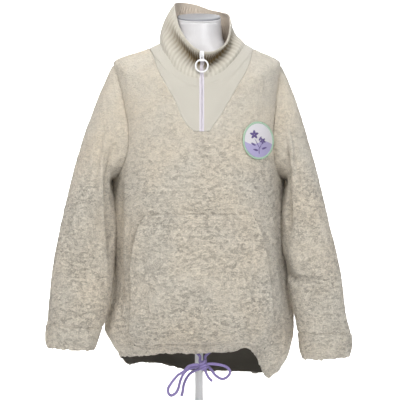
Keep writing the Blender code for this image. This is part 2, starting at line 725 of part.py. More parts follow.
def front_panel(left_crossing, right_crossing):
    v = ROWS[: V_TOP + 1, None]
    front_left, front_right, _, _ = armhole_angles(v[:, 0])
    left_v = np.array([v_line_angle(-1, row) for row in ROWS[V_BOTTOM : V_TOP + 1]])
    right_v = np.array([v_line_angle(1, row) for row in ROWS[V_BOTTOM : V_TOP + 1]])
    left_v[-1] = right_v[-1] = 90
    inner_left = np.concatenate([np.full(V_BOTTOM, left_v[0]), left_v])
    inner_right = np.concatenate([np.full(V_BOTTOM, right_v[0]), right_v])
    share = np.linspace(0, 1, HALF_COLUMNS + 1)
    left = -front_left[:, None] + (front_left - inner_left)[:, None] * share
    right = inner_right[:, None] + (front_right - inner_right)[:, None] * share
    middle = (left[:, -1:] + right[:, :1]) / 2
    theta = np.concatenate([left, middle, right], axis=1)
    outer = body(theta, v)
    inner = outer - body_normal(theta, v) * FLEECE_WALL
    armhole_edges(inner, outer, left_crossing, True, 0, -1)
    armhole_edges(inner, outer, right_crossing, True, -1, 1)
    keep = np.ones((V_TOP, theta.shape[1] - 1), bool)
    keep[V_BOTTOM:, HALF_COLUMNS : HALF_COLUMNS + 2] = False
    last = theta.shape[1] - 1
    draw_back(outer, inner, np.s_[:, 0], np.s_[:, 1])
    draw_back(outer, inner, np.s_[:, last], np.s_[:, last - 1])
    above = slice(V_BOTTOM + 1, V_TOP)
    draw_back(outer, inner, np.s_[above, HALF_COLUMNS], np.s_[above, HALF_COLUMNS - 1])
    draw_back(outer, inner, np.s_[above, HALF_COLUMNS + 2], np.s_[above, HALF_COLUMNS + 3])
    bottom = slice(HALF_COLUMNS, HALF_COLUMNS + 3)
    draw_back(outer, inner, np.s_[V_BOTTOM, bottom], np.s_[V_BOTTOM - 1, bottom])
    for tip, edge in ((slice(0, HALF_COLUMNS + 1), 0), (slice(HALF_COLUMNS + 2, last + 1), last)):
        step = unit(outer[V_TOP - 1, edge] - outer[V_TOP, edge]) * 0.004
        outer[V_TOP, tip] = outer[V_TOP, edge] + step
        inner[V_TOP, tip] = inner[V_TOP, edge] + step
    wall("front", outer, inner, "fleece", keep=keep)
    return left_v, right_v


def back_panel(left_crossing, right_crossing, seam):
    v = ROWS[:, None]
    _, _, back_left, back_right = armhole_angles(v[:, 0])
    start = 180 - back_right
    end = 180 + back_left
    theta = start[:, None] + (end - start)[:, None] * np.linspace(0, 1, BACK_COLUMNS + 1)
    outer = body(theta, v)
    inner = outer - body_normal(theta, v) * FLEECE_WALL
    inner[-1] = outer[-1] - seam(theta[-1]) * FLEECE_WALL
    armhole_edges(inner, outer, right_crossing, False, 0, 1)
    armhole_edges(inner, outer, left_crossing, False, -1, -1)
    draw_back(outer, inner, np.s_[:, 0], np.s_[:, 1])
    draw_back(outer, inner, np.s_[:, -1], np.s_[:, -2])
    draw_back(outer, inner, np.s_[-1], np.s_[-2])
    wall("back", outer, inner, "fleece")


def yoke_angles(side, edge):
    """Columns of one side of the yoke, from its V edge to the zip."""
    v = ROWS[V_BOTTOM:]
    outside = side * np.concatenate([edge, np.full(len(v) - len(edge), 90.0)])
    inside = angle_at_x(ZIP_X + side * (ZIP_HALF + ZIP_GAP), v)
    return outside[:, None] + (inside - outside)[:, None] * np.linspace(0, 1, YOKE_COLUMNS + 1)


def yoke(name, side, edge, seam):
    v = ROWS[V_BOTTOM:, None]
    theta = yoke_angles(side, edge)
    surface = body(theta, v)
    way = body_normal(theta, v)
    way[-1] = seam(np.mod(theta[-1], 360))
    outer = surface - way * KNIT_DROP
    inner = surface - way * (KNIT_DROP + KNIT_WALL)
    draw_back(outer, inner, np.s_[:, 0], np.s_[:, 1])
    draw_back(outer, inner, np.s_[0], np.s_[1])
    draw_back(outer, inner, np.s_[-1], np.s_[-2])
    wall(name, outer, inner, "knit")


def neck_seam(left_edge, right_edge):
    """The neck ring's corners and its seam directions, as functions of the angle from 0 to 360."""
    right = yoke_angles(1, right_edge)[-1][::-1]
    left = yoke_angles(-1, left_edge)[-1] + 360
    back = np.linspace(90, 270, BACK_COLUMNS + 1)
    angles = np.concatenate([right, back[1:-1], left])
    points = body(angles, 1.0)
    higher = collar_point(points, angles, angles, np.full(len(angles), 0.16))
    across = np.gradient(points, axis=0)
    way = mitre(body_normal(angles, 1.0), unit(np.cross(across, higher - points)))

    def place(at):
        return np.stack([np.interp(at, angles, points[:, i]) for i in range(3)], axis=-1)

    def seam(at):
        return np.stack([np.interp(at, angles, way[:, i]) for i in range(3)], axis=-1)

    return angles, place, seam


def collar(angles, place, seam):
    share = np.linspace(0, 1, 2 * RIB_COUNT + 1)
    base_angle = angles[0] + (angles[-1] - angles[0]) * share
    rim_angle = 4.6 + (360 - 4.6 - 4.6) * share
    base = place(base_angle)
    surface = np.array(
        [collar_point(base, base_angle, rim_angle, np.full(len(share), h)) for h in COLLAR_HEIGHTS]
    )
    way = grid_normals(surface)
    way[0] = seam(base_angle)
    way[:, [0, -1], 0] = 0
    way = unit(way) * np.linalg.norm(way, axis=-1, keepdims=True)
    rib = RIB_HEIGHT * (np.arange(len(share)) % 2)[None, :] * (COLLAR_HEIGHTS > 0)[:, None]
    outer = surface - way * (KNIT_DROP - rib[..., None])
    inner = surface - way * (KNIT_DROP + COLLAR_WALL)
    draw_back(outer, inner, np.s_[0], np.s_[1], 2 * SEAM)
    wall("collar", outer, inner, "rib")
    return surface, way


def zip_strip(surface, way):
    """The zip's tapes and teeth between the yoke's halves and up the collar, with their ends above the rim."""
    v = ROWS[V_BOTTOM:-1]
    left = body(angle_at_x(ZIP_X - ZIP_HALF, v), v)
    right = body(angle_at_x(ZIP_X + ZIP_HALF, v), v)
    facing = body_normal(angle_at_x(ZIP_X, v), v)
    inset = ZIP_GAP * unit(surface[:, 0] - surface[:, -1])
    collar_left = surface[:, -1] + inset
    collar_right = surface[:, 0] - inset
    collar_facing = unit(way[:, 0] + way[:, -1])
    end = np.array([[0.0, 0.004, 0.009]])
    left = np.concatenate([left, collar_left, collar_left[-1:] + end])
    right = np.concatenate([right, collar_right, collar_right[-1:] + end])
    facing = np.concatenate([facing, collar_facing, collar_facing[-1:]])
    middle = (left + right) / 2
    grid = np.stack([left, middle, right], axis=1)
    outer = grid - facing[:, None] * (KNIT_DROP - 0.0006)
    inner = grid - facing[:, None] * (KNIT_DROP + 0.0018)
    draw_back(outer, inner, np.s_[0], np.s_[1], 2 * SEAM)
    wall("zip", outer, inner, "zip")
    return outer


def slider_and_pull(strip):
    """The slider with its bridge, and the pull whose eye hangs in the bridge."""
    heights = np.linspace(SLIDER["low_z"], SLIDER["high_z"], 9)
    back_y = min(np.interp(heights, strip[:, i, 2], strip[:, i, 1]).min() for i in range(3)) - 0.0004
    front_y = back_y - SLIDER["depth"]
    half = SLIDER["width"] / 2
    low = (ZIP_X - half, front_y, SLIDER["low_z"])
    high = (ZIP_X + half, back_y, SLIDER["high_z"])
    slider = add("zip_slider", box_mesh("zip_slider", low, high), "metal")
    arch = [(0.0010, 0.8152), (-0.0022, 0.8150), (-0.0040, 0.8134), (-0.0047, 0.8112), (-0.0047, 0.8072)]
    arch += [(-0.0040, 0.8050), (-0.0022, 0.8037), (0.0010, 0.8045)]
    path = smooth_path([(ZIP_X, front_y + y, z) for y, z in arch], 18)
    wire = bpy.data.objects.new("bridge_wire", cord_curve("bridge_wire", path, 0.0008))
    bridge = bpy.data.objects.new("bridge", bpy.data.meshes.new_from_object(wire))
    bpy.data.objects.remove(wire)
    boolean(slider, hide(bridge, "bridge"), "UNION")
    hinge = np.array([ZIP_X, front_y - 0.0020, PULL["hinge_z"]])
    pull = add("zip_pull", box_mesh("zip_pull", (-0.0044, -0.0009, -0.0090), (0.0044, 0.0009, 0.0009)), "metal")
    pull.location = hinge
    hole = bpy.data.objects.new("eye_hole", box_mesh("eye_hole", (-0.0021, -0.01, -0.0069), (0.0021, 0.01, -0.0009)))
    bar = bpy.data.objects.new("bar", box_mesh("bar", (-0.0082, -0.0012, -0.0114), (0.0082, 0.0012, -0.0080)))
    for other, operation in ((hole, "DIFFERENCE"), (bar, "UNION")):
        other.location = hinge
        boolean(pull, hide(other, other.name), operation)
    bpy.ops.mesh.primitive_torus_add(
        major_radius=PULL["ring_radius"],
        minor_radius=PULL["wire_radius"],
        major_segments=28,
        minor_segments=8,
        location=(hinge[0], hinge[1], PULL["ring_z"]),
        rotation=(math.radians(90), 0, 0),
    )
    boolean(pull, hide(bpy.context.object, "ring"), "UNION")


def pocket():
    rows = POCKET["v"]
    share = np.linspace(-1, 1, 15)
    edge = np.where(share[None, :] < 0, POCKET["left_angle"][:, None], POCKET["right_angle"][:, None])
    theta = share[None, :] * edge
    v = rows[:, None]
    surface = body(theta, v)
    way = body_normal(theta, v)
    mouth = np.where(share[None, :] < 0, POCKET["left_mouth"][:, None], POCKET["right_mouth"][:, None])
    middle = POCKET["middle"][:, None]
    across = np.abs(share[None, :])
    off = LAID_ON + middle * (1 - across**4) + mouth * across**4
    inner = surface + way * off[..., None]
    outer = surface + way * (off + FLEECE_WALL)[..., None]
    wall("pocket", outer, inner, "fleece")


def patch():
    across = np.linspace(-1, 1, 9)
    u, w = np.meshgrid(across, across)
    round_x = u * np.sqrt(1 - w**2 / 2)
    round_z = w * np.sqrt(1 - u**2 / 2)
    theta, v = on_front(PATCH["x"] + PATCH["half_width"] * round_x, PATCH["z"] + PATCH["half_height"] * round_z)
    surface = body(theta, v)
    way = body_normal(theta, v)
    wall("patch", surface + way * (LAID_ON + PATCH["wall"]), surface + way * LAID_ON, "patch")


def dress_form():
    turns = np.radians(np.arange(28) * 360 / 28)
    c = np.cos(turns)
    s = np.sin(turns)
    rings = []
    for z, half_width, front_depth, back_depth in zip(*FORM.values()):
        depth = np.where(s < 0, front_depth, back_depth)
        x = half_width * np.sign(c) * np.abs(c) ** 0.93
        y = depth * np.sign(s) * np.abs(s) ** 0.93
        rings.append(np.stack([x, y, np.full(len(turns), z)], axis=-1))
    rings = np.array(rings)
    rings[-1, :, 2] += NECK_SLANT * rings[-1, :, 1]
    loft("dress_form", rings, "form")
    low = rings[-1] + np.array([0, 0, 0.0003])
    low[:, :2] *= 0.99
    edge = low + np.array([0, 0, CAP_THICKNESS - 0.001])
    high = low + np.array([0, 0, CAP_THICKNESS])
    high[:, :2] *= 0.97
    loft("neck_cap", np.array([low, edge, high]), "cap")


def foot():
    """The stand's foot: its profile, from the rim's foot up and in to the middle, turned by a Screw modifier."""
    radius = STAND["base_radius"]
    height = STAND["base_height"]
    profile = [(0, height), (radius - 0.005, height), (radius - 0.002, height - 0.0012)]
    profile += [(radius, height - 0.005), (radius, 0), (0, 0)]
    mesh = bpy.data.meshes.new("base_plate")
    points = [(x, 0, z) for x, z in profile]
    mesh.from_pydata(points, [(i, i + 1) for i in range(len(points) - 1)], [])
    plate = add("base_plate", mesh, "stand")
    screw = plate.modifiers.new("turn", "SCREW")
    screw.steps = 40
    screw.render_steps = 40
    screw.use_merge_vertices = True
    screw.merge_threshold = 0.0001


def pole():
    low = STAND["base_height"] + 0.0003
    high = FORM["z"][0] - 0.0003
    work = bmesh.new()
    radius = STAND["pole_radius"]
    bmesh.ops.create_cone(work, cap_ends=True, segments=24, radius1=radius, radius2=radius, depth=high - low)
    bmesh.ops.translate(work, vec=(0, 0, (high + low) / 2), verts=work.verts)
    mesh = bpy.data.meshes.new("pole")
    work.to_mesh(mesh)
    work.free()
    add("pole", mesh, "stand")


def knot_face(way):
    """The point of the knot whose face looks along way, and that direction."""
    centre = np.array([KNOT["x"], BOW_FRONT + KNOT["behind"], KNOT["z"]])
    half = np.array(KNOT["half"])
    way = unit(np.array(way))
    return centre + half**2 * way / np.linalg.norm(half * way), way


def cord(name, path):
    """A stretch of the drawstring, with a point every 6 mm or so of its length."""
    length = np.linalg.norm(np.diff(path, axis=0), axis=1).sum()
    add(name, cord_curve(name, smooth_path(path, 2 + round(length / 0.0056)), CORD_RADIUS), "cord")


def drawstring():
    for name, piece in BOW.items():
        point, way = knot_face(piece["way"])
        path = [point + way * 0.0002, point + way * 0.004]
        path += [np.array([x, BOW_FRONT + behind, z]) for x, z, behind in piece["path"]]
        if "way_back" in piece:
            point, way = knot_face(piece["way_back"])
            path += [point + way * 0.004, point + way * 0.0002]
        cord(name, path)
    for name, piece in LEADS.items():
        point, way = knot_face(piece["way"])
        theta = angle_at_x(piece["hole_x"], HOLE_ROW)
        facing = body_normal(theta, HOLE_ROW)
        hole = body(theta, HOLE_ROW) - facing * (FLEECE_WALL + 0.0010)
        path = [point + way * 0.0002, point + way * 0.004]
        path += [(point + way * 0.004) * (1, 0, 0) + np.array([0, -0.1040, 0.1680])]
        path += [hole * (1, 0, 0) + np.array([0, -0.1035, 0.1830])]
        path += [hole - facing * 0.010, hole - facing * 0.004, hole]
        cord(name, path)
    centre = np.array([KNOT["x"], BOW_FRONT + KNOT["behind"], KNOT["z"]])
    work = bmesh.new()
    bmesh.ops.create_uvsphere(work, u_segments=16, v_segments=10, radius=1)
    bmesh.ops.scale(work, vec=KNOT["half"], verts=work.verts)
    bmesh.ops.translate(work, vec=centre.tolist(), verts=work.verts)
    mesh = bpy.data.meshes.new("bow_knot")
    work.to_mesh(mesh)
    work.free()
    add("bow_knot", mesh, "cord")


HALF_COLUMNS = 13
BACK_COLUMNS = 20
YOKE_COLUMNS = 8

for old in list(bpy.data.objects):
    bpy.data.objects.remove(old, do_unlink=True)
COLLECTION = bpy.data.collections.new("nursing_sweater_on_dress_form")
bpy.context.scene.collection.children.link(COLLECTION)
CUTTERS = bpy.data.collections.new("cutters")
bpy.context.scene.collection.children.link(CUTTERS)

left_seam = sleeve("sleeve_left", -1)
right_seam = sleeve("sleeve_right", 1)
left_edge, right_edge = front_panel(left_seam, right_seam)
neck_angles, neck_place, neck_way = neck_seam(left_edge, right_edge)
back_panel(left_seam, right_seam, neck_way)
yoke("yoke_left", -1, left_edge, neck_way)
yoke("yoke_right", 1, right_edge, neck_way)
collar_surface, collar_way = collar(neck_angles, neck_place, neck_way)
strip_points = zip_strip(collar_surface, collar_way)
slider_and_pull(strip_points)
pocket()
patch()
drawstring()
dress_form()
foot()
pole()
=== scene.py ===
"""A cream teddy-fleece half-zip sweater with a knit yoke and a rib collar, on a white limbless dress form.

Metres, +Z up. The garment's front faces -Y, and +X is the viewer's right. The floor is z = 0.
"""

import math

import bmesh
import bpy
import numpy as np
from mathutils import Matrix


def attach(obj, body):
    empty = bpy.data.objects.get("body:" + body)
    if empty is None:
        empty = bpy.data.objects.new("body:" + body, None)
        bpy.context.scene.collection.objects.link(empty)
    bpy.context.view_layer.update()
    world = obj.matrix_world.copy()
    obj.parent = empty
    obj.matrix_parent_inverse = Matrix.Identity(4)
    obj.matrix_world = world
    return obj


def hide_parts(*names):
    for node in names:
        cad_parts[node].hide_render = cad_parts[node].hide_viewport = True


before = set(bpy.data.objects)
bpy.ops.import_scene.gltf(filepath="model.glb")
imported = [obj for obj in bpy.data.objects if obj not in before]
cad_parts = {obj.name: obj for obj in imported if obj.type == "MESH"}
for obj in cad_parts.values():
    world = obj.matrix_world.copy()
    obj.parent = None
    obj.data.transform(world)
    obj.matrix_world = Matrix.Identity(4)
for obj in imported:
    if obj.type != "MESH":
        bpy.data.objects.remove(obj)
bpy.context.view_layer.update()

# Camera, backdrop and light
# A level camera about 3.1 m in front of the garment. A pale studio sweep runs from the floor up into the wall,
# and two large soft boxes and a white room light it almost evenly, a little brighter from the upper left.

camera_data = bpy.data.cameras.new("camera")
camera_data.sensor_width = 36
camera_data.lens = 126.8
camera_data.clip_end = 20
camera = bpy.data.objects.new("camera", camera_data)
camera.location = (0.0022, -3.1, 0.50)
camera.rotation_euler = (math.radians(90), 0, 0)
bpy.context.scene.collection.objects.link(camera)
bpy.context.scene.camera = camera


def make(name, points, quads):
    """A piece's mesh from an array of points and an array of four-cornered faces, shaded smooth."""
    mesh = bpy.data.meshes.new(name)
    points = np.asarray(points, float).reshape(-1, 3)
    quads = np.asarray(quads).reshape(-1, 4)
    mesh.vertices.add(len(points))
    mesh.vertices.foreach_set("co", points.ravel())
    mesh.loops.add(quads.size)
    mesh.loops.foreach_set("vertex_index", quads.ravel())
    mesh.polygons.add(len(quads))
    mesh.polygons.foreach_set("loop_start", np.arange(0, quads.size, 4))
    mesh.polygons.foreach_set("use_smooth", np.ones(len(quads), bool))
    mesh.update(calc_edges=True)
    piece = bpy.data.objects.new(name, mesh)
    bpy.context.scene.collection.objects.link(piece)
    return piece


def grid_quads(rows, columns, closed=False, start=0):
    """Faces of a grid of points, row by row. closed joins the last column to the first."""
    across = np.arange(columns if closed else columns - 1)
    low = start + np.arange(rows - 1)[:, None] * columns
    right = (across + 1) % columns
    return np.stack([low + across, low + right, low + columns + right, low + columns + across], -1).reshape(-1, 4)


def node(tree, kind, links=None, **settings):
    """Adds a shader node. links gives its inputs a value or another node's output."""
    made = tree.nodes.new(kind)
    for setting, value in settings.items():
        setattr(made, setting, value)
    for socket, value in (links or {}).items():
        if isinstance(value, bpy.types.NodeSocket):
            tree.links.new(value, made.inputs[socket])
        else:
            made.inputs[socket].default_value = value
    return made


def finish(name, roughness, **values):
    """A new material with a Principled shader, whose constant values sit on its own sockets."""
    made = bpy.data.materials.new(name)
    made.use_nodes = True
    tree = made.node_tree
    shader = tree.nodes["Principled BSDF"]
    shader.inputs["Roughness"].default_value = roughness
    for socket, value in values.items():
        shader.inputs[socket.replace("_", " ")].default_value = value
    return made, tree, shader


def math_node(tree, operation, a, b=0.0, c=0.0, clamp=False):
    """A Math node's output, of numbers or other outputs."""
    return node(tree, "ShaderNodeMath", {0: a, 1: b, 2: c}, operation=operation, use_clamp=clamp).outputs[0]


def blend_colour(tree, share, a, b, mode="MIX"):
    """Colour a turned into colour b by share, which is a number or an output."""
    mix = node(tree, "ShaderNodeMix", {0: share}, data_type="RGBA", blend_type=mode)
    for socket, value in ((mix.inputs[6], a), (mix.inputs[7], b)):
        if isinstance(value, bpy.types.NodeSocket):
            tree.links.new(value, socket)
        else:
            socket.default_value = (*value, 1)
    return mix.outputs[2]


def studio_sweep():
    """The backdrop's profile: flat floor, a quarter circle of 0.9 m, then a wall, drawn across 9 m."""
    turn = np.linspace(0, math.pi / 2, 24)
    profile_y = np.concatenate([[-5.0, 0.0], 3.7 + 0.9 * np.sin(turn), [4.6]])
    profile_z = np.concatenate([[0.0, 0.0], 0.9 - 0.9 * np.cos(turn), [4.2]])
    across = np.array([-4.5, 0.0, 4.5])
    shape = (len(profile_y), 3)
    points = np.stack(
        [
            np.broadcast_to(across, shape),
            np.broadcast_to(profile_y[:, None], shape),
            np.broadcast_to(profile_z[:, None] - 0.0005, shape),
        ],
        -1,
    )
    return make("studio_sweep", points, grid_quads(*shape))


sweep = studio_sweep()
paper, tree, shader = finish("sweep_paper", 0.85, Emission_Color=(1, 1, 1, 1), Emission_Strength=0.20)
spot = node(tree, "ShaderNodeTexCoord").outputs["Object"]
grain = node(tree, "ShaderNodeTexNoise", {"Vector": spot, "Scale": 60.0, "Detail": 4.0}).outputs[0]
tree.links.new(blend_colour(tree, grain, (0.93, 0.93, 0.93), (0.96, 0.96, 0.96)), shader.inputs["Base Color"])
sweep.data.materials.append(paper)


def soft_box(name, place, aim, size, power, colour, spread=180):
    """A square area light at place that faces aim. spread is the angle of its beam in degrees."""
    data = bpy.data.lights.new(name, "AREA")
    data.size = size
    data.energy = power
    data.color = colour
    data.spread = math.radians(spread)
    light = bpy.data.objects.new(name, data)
    light.location = place
    away = np.array(place) - np.array(aim)
    level = math.hypot(away[0], away[1])
    light.rotation_euler = (math.atan2(level, away[2]), 0, math.atan2(away[0], -away[1]))
    bpy.context.scene.collection.objects.link(light)


soft_box("key_soft_box", (-0.55, -1.10, 1.95), (0, 0, 0.6), 0.8, 20, (1.0, 0.985, 0.96))
soft_box("fill_soft_box", (0.9, -2.4, 1.3), (0, 0, 0.72), 1.2, 6, (0.96, 0.98, 1.0), 70)
soft_box("wall_light", (0, 2.0, 3.4), (0, 3.4, 0.3), 3.0, 230, (1.0, 1.0, 1.0), 125)

room = bpy.data.worlds.new("white_room")
room.use_nodes = True
room.node_tree.nodes["Background"].inputs["Color"].default_value = (0.97, 0.98, 1.0, 1)
room.node_tree.nodes["Background"].inputs["Strength"].default_value = 0.21
bpy.context.scene.world = room
bpy.context.scene.view_settings.view_transform = "Standard"

# Drawstring
# A round braided polyester cord of 6 mm, which comes out of two holes inside the hem's casing and is tied in a bow
# below the front hem. Its tips are cut slanting and melted, and it is limp, so the loops hang.

CORD_RADIUS = 0.003
STRANDS = 8
LOOP_LEFT = (
    (-0.0016, -0.1223, 0.1515),
    (-0.0047, -0.1245, 0.1523),
    (-0.0210, -0.1250, 0.1490),
    (-0.0317, -0.1260, 0.1385),
    (-0.0444, -0.1260, 0.1300),
    (-0.0571, -0.1250, 0.1153),
    (-0.0655, -0.1240, 0.1005),
    (-0.0634, -0.1220, 0.0899),
    (-0.0579, -0.1200, 0.0867),
    (-0.0486, -0.1180, 0.0920),
    (-0.0433, -0.1170, 0.1026),
    (-0.0400, -0.1170, 0.1153),
    (-0.0359, -0.1160, 0.1258),
    (-0.0305, -0.1150, 0.1343),
    (-0.0215, -0.1140, 0.1415),
    (-0.0047, -0.1121, 0.1466),
    (-0.0017, -0.1140, 0.1477),
)
TAIL_LEFT = (
    (0.0044, -0.1113, 0.1448),
    (0.0035, -0.1084, 0.1425),
    (-0.0080, -0.1055, 0.1375),
    (-0.0200, -0.1055, 0.1300),
    (-0.0285, -0.1060, 0.1174),
    (-0.0325, -0.1070, 0.1068),
    (-0.0345, -0.1080, 0.0940),
    (-0.0372, -0.1090, 0.0836),
)
LOOP_RIGHT = (
    (0.0172, -0.1219, 0.1526),
    (0.0202, -0.1238, 0.1539),
    (0.0338, -0.1250, 0.1535),
    (0.0507, -0.1250, 0.1505),
    (0.0613, -0.1250, 0.1450),
    (0.0655, -0.1240, 0.1351),
    (0.0592, -0.1220, 0.1258),
    (0.0507, -0.1200, 0.1216),
    (0.0423, -0.1180, 0.1237),
    (0.0330, -0.1160, 0.1310),
    (0.0268, -0.1140, 0.1395),
    (0.0204, -0.1127, 0.1460),
    (0.0173, -0.1144, 0.1473),
)
TAIL_RIGHT = (
    (0.0094, -0.1180, 0.1502),
    (0.0124, -0.1180, 0.1420),
    (0.0137, -0.1180, 0.1384),
    (0.0175, -0.1180, 0.1290),
    (0.0220, -0.1180, 0.1225),
    (0.0280, -0.1180, 0.1165),
)
LEAD_LEFT = (
    (-0.01377, -0.12812, 0.19266),
    (-0.01354, -0.12503, 0.19518),
    (-0.01321, -0.12038, 0.19897),
    (-0.01377, -0.1035, 0.1830),
    (0.00183, -0.1040, 0.1680),
    (0.00183, -0.1085, 0.15676),
    (0.00317, -0.11136, 0.15465),
)
LEAD_RIGHT = (
    (0.02923, -0.12625, 0.19366),
    (0.02868, -0.12326, 0.19626),
    (0.02784, -0.11878, 0.20016),
    (0.02923, -0.1035, 0.1830),
    (0.01377, -0.1040, 0.1680),
    (0.01377, -0.1085, 0.15676),
    (0.01243, -0.11136, 0.15465),
)
KNOT_CENTRE = (0.0078, -0.118, 0.150)


def unit(vectors):
    return vectors / np.maximum(np.linalg.norm(vectors, axis=-1, keepdims=True), 1e-12)


def smooth_path(points, count):
    """Points spaced along a smooth curve through the given ones, a cubic between each two with shared slopes."""
    points = np.asarray(points, float)
    along = np.concatenate([[0], np.cumsum(np.linalg.norm(np.diff(points, axis=0), axis=1))])
    padded = np.concatenate([[2 * points[0] - points[1]], points, [2 * points[-1] - points[-2]]])
    steps = np.diff(along)
    steps = np.concatenate([[steps[0]], steps, [steps[-1]]])
    slopes = (padded[2:] - padded[:-2]) / (steps[1:] + steps[:-1])[:, None]
    at = np.linspace(0, along[-1], count)
    i = np.clip(np.searchsorted(along, at, side="right") - 1, 0, len(along) - 2)
    step = (along[i + 1] - along[i])[:, None]
    t = (at[:, None] - along[i][:, None]) / step
    value = points[i] * (1 + 2 * t) * (1 - t) ** 2 + points[i + 1] * t**2 * (3 - 2 * t)
    return value + step * t * (1 - t) * (slopes[i] * (1 - t) - slopes[i + 1] * t)


def weld(piece, within=1e-6):
    """Makes one point of the points that coincide at a pole or a seam."""
    work = bmesh.new()
    work.from_mesh(piece.data)
    bmesh.ops.remove_doubles(work, verts=work.verts, dist=within)
    work.to_mesh(piece.data)
    work.free()


def tube(name, path, radius, reference, sides=20, strands=0, pitch=0.009):
    """A round tube along a path, closed at both ends.

    Its rings stand square to the path, turned from a fixed reference direction. With strands, the radius rises
    where either of two crossing helices passes, which is what a braid looks like.
    """
    path = np.asarray(path, float)
    lengths = np.concatenate([[0], np.cumsum(np.linalg.norm(np.diff(path, axis=0), axis=1))])
    tangent = unit(np.gradient(path, axis=0))
    side = unit(np.cross(tangent, np.asarray(reference, float)))
    up = np.cross(side, tangent)
    turn = 2 * math.pi * np.arange(sides) / sides
    grow = np.full((len(path), sides), radius)
    if strands:
        phase = 2 * math.pi * lengths[:, None] / pitch
        cross = np.maximum(
            np.abs(np.cos(strands / 2 * turn + phase)), np.abs(np.cos(strands / 2 * turn - phase))
        )
        grow = radius * (0.90 + 0.13 * cross)
    rings = path[:, None] + grow[..., None] * (
        np.cos(turn)[None, :, None] * side[:, None] + np.sin(turn)[None, :, None] * up[:, None]
    )
    ends = [
        np.stack([path[0] + (rings[0] - path[0]) * share for share in (0.0, 0.75)]),
        np.stack([path[-1] + (rings[-1] - path[-1]) * share for share in (0.75, 0.0)]),
    ]
    points = np.concatenate([ends[0], rings, ends[1]])
    piece = make(name, points, grid_quads(len(points), sides, closed=True))
    braid = piece.data.uv_layers.new(name="along")
    index = grid_quads(len(points), sides, closed=True)
    row = index // sides
    far = np.concatenate([[0, 0], lengths, [lengths[-1]] * 2])
    column = index % sides
    column[:, 1:3] = np.where(column[:, 1:3] == 0, sides, column[:, 1:3])
    braid.data.foreach_set("uv", np.stack([column / sides, far[row]], -1).ravel())
    weld(piece)
    return piece, path


polyester, tree, shader = finish("braided_cord", 0.62, Sheen_Weight=0.25, Sheen_Roughness=0.4)
place = node(tree, "ShaderNodeUVMap", uv_map="along").outputs[0]
parts = node(tree, "ShaderNodeSeparateXYZ", {0: place})
ring_turn = math_node(tree, "MULTIPLY", parts.outputs[0], STRANDS / 2 * 2 * math.pi)
length_turn = math_node(tree, "MULTIPLY", parts.outputs[1], 2 * math.pi / 0.009)
one_way = math_node(tree, "ABSOLUTE", math_node(tree, "COSINE", math_node(tree, "ADD", ring_turn, length_turn)))
other_way = math_node(tree, "ABSOLUTE", math_node(tree, "COSINE", math_node(tree, "SUBTRACT", ring_turn, length_turn)))
raised = math_node(tree, "MAXIMUM", one_way, other_way)
spot = node(tree, "ShaderNodeTexCoord").outputs["Object"]
yarn = node(tree, "ShaderNodeTexNoise", {"Vector": spot, "Scale": 900.0, "Detail": 3.0}).outputs[0]
# Painted shade: the purple is darker in the grooves between the braid's strands and lighter on their crests.
dye_and_painted_shade = blend_colour(tree, raised, (0.085, 0.060, 0.190), (0.235, 0.180, 0.420))
dye_and_painted_shade = blend_colour(tree, math_node(tree, "MULTIPLY", yarn, 0.5), dye_and_painted_shade, (0.34, 0.28, 0.52))
tree.links.new(dye_and_painted_shade, shader.inputs["Base Color"])
bump = node(tree, "ShaderNodeBump", {"Height": yarn, "Strength": 0.35, "Distance": 0.0004})
tree.links.new(bump.outputs[0], shader.inputs["Normal"])

FRONTWAYS = (0.05, 1.0, 0.08)
SIDEWAYS = (1.0, 0.02, 0.04)
cord_pieces = {
    "bow_left_loop": (LOOP_LEFT, FRONTWAYS, "object", "loose"),
    "bow_left_tail": (TAIL_LEFT, (0.9, 0.25, 0.6), "bare", "hanging"),
    "bow_right_loop": (LOOP_RIGHT, FRONTWAYS, "object", "loose"),
    "bow_right_tail": (TAIL_RIGHT, FRONTWAYS, "bare", "hanging"),
    "cord_left": (LEAD_LEFT, SIDEWAYS, "object", "loose"),
    "cord_right": (LEAD_RIGHT, SIDEWAYS, "object", "loose"),
}
for name, (route, reference, far_end, lay) in cord_pieces.items():
    rough_length = np.linalg.norm(np.diff(route, axis=0), axis=1).sum()
    path = smooth_path(route, int(rough_length / 0.0009))
    string, path = tube(f"{name}_braid", path, CORD_RADIUS, reference, strands=STRANDS)
    string.data.materials.append(polyester)
    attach(string, "garment")
    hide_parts(name)


def knot_wraps():
    """Two turns of the cord round the knot's middle: an oval helix, 7.8 by 5.8 mm, rising 6 mm, tilted sideways."""
    turn = np.linspace(-0.35, 2.35, 110) * 2 * math.pi
    rise = (turn / (2 * math.pi) - 1.0) * 0.0056
    x = 0.0076 * np.cos(turn)
    y = 0.0056 * np.sin(turn)
    lean = math.radians(16)
    return np.array(KNOT_CENTRE) + np.stack(
        [x * math.cos(lean) - rise * math.sin(lean), y, x * math.sin(lean) + rise * math.cos(lean)], -1
    )


wraps, _ = tube("bow_knot_wraps", knot_wraps(), CORD_RADIUS, (0.12, 0.0, 1.0), strands=STRANDS)
wraps.data.materials.append(polyester)
polar = np.linspace(0, math.pi, 15)[:, None]
turn = np.linspace(0, 2 * math.pi, 24, endpoint=False)[None, :]
heart = np.stack(
    [
        0.0088 * np.cos(polar) + 0 * turn,
        0.0066 * np.sin(polar) * np.cos(turn),
        0.0072 * np.sin(polar) * np.sin(turn),
    ],
    -1,
)
core = make("bow_knot_heart", heart + np.array(KNOT_CENTRE), grid_quads(15, 24, closed=True))
core.data.uv_layers.new(name="along")
weld(core)
core.data.materials.append(polyester)
for piece in (wraps, core):
    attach(piece, "garment")
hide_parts("bow_knot")
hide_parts("bow_knot")

# Dress form and stand
# A limbless torso of hard foam under smooth white satin jersey, with a slanted grey cap set into the cut of its
# neck. It stands on a white lacquered steel pole, screwed into a round weighted foot.

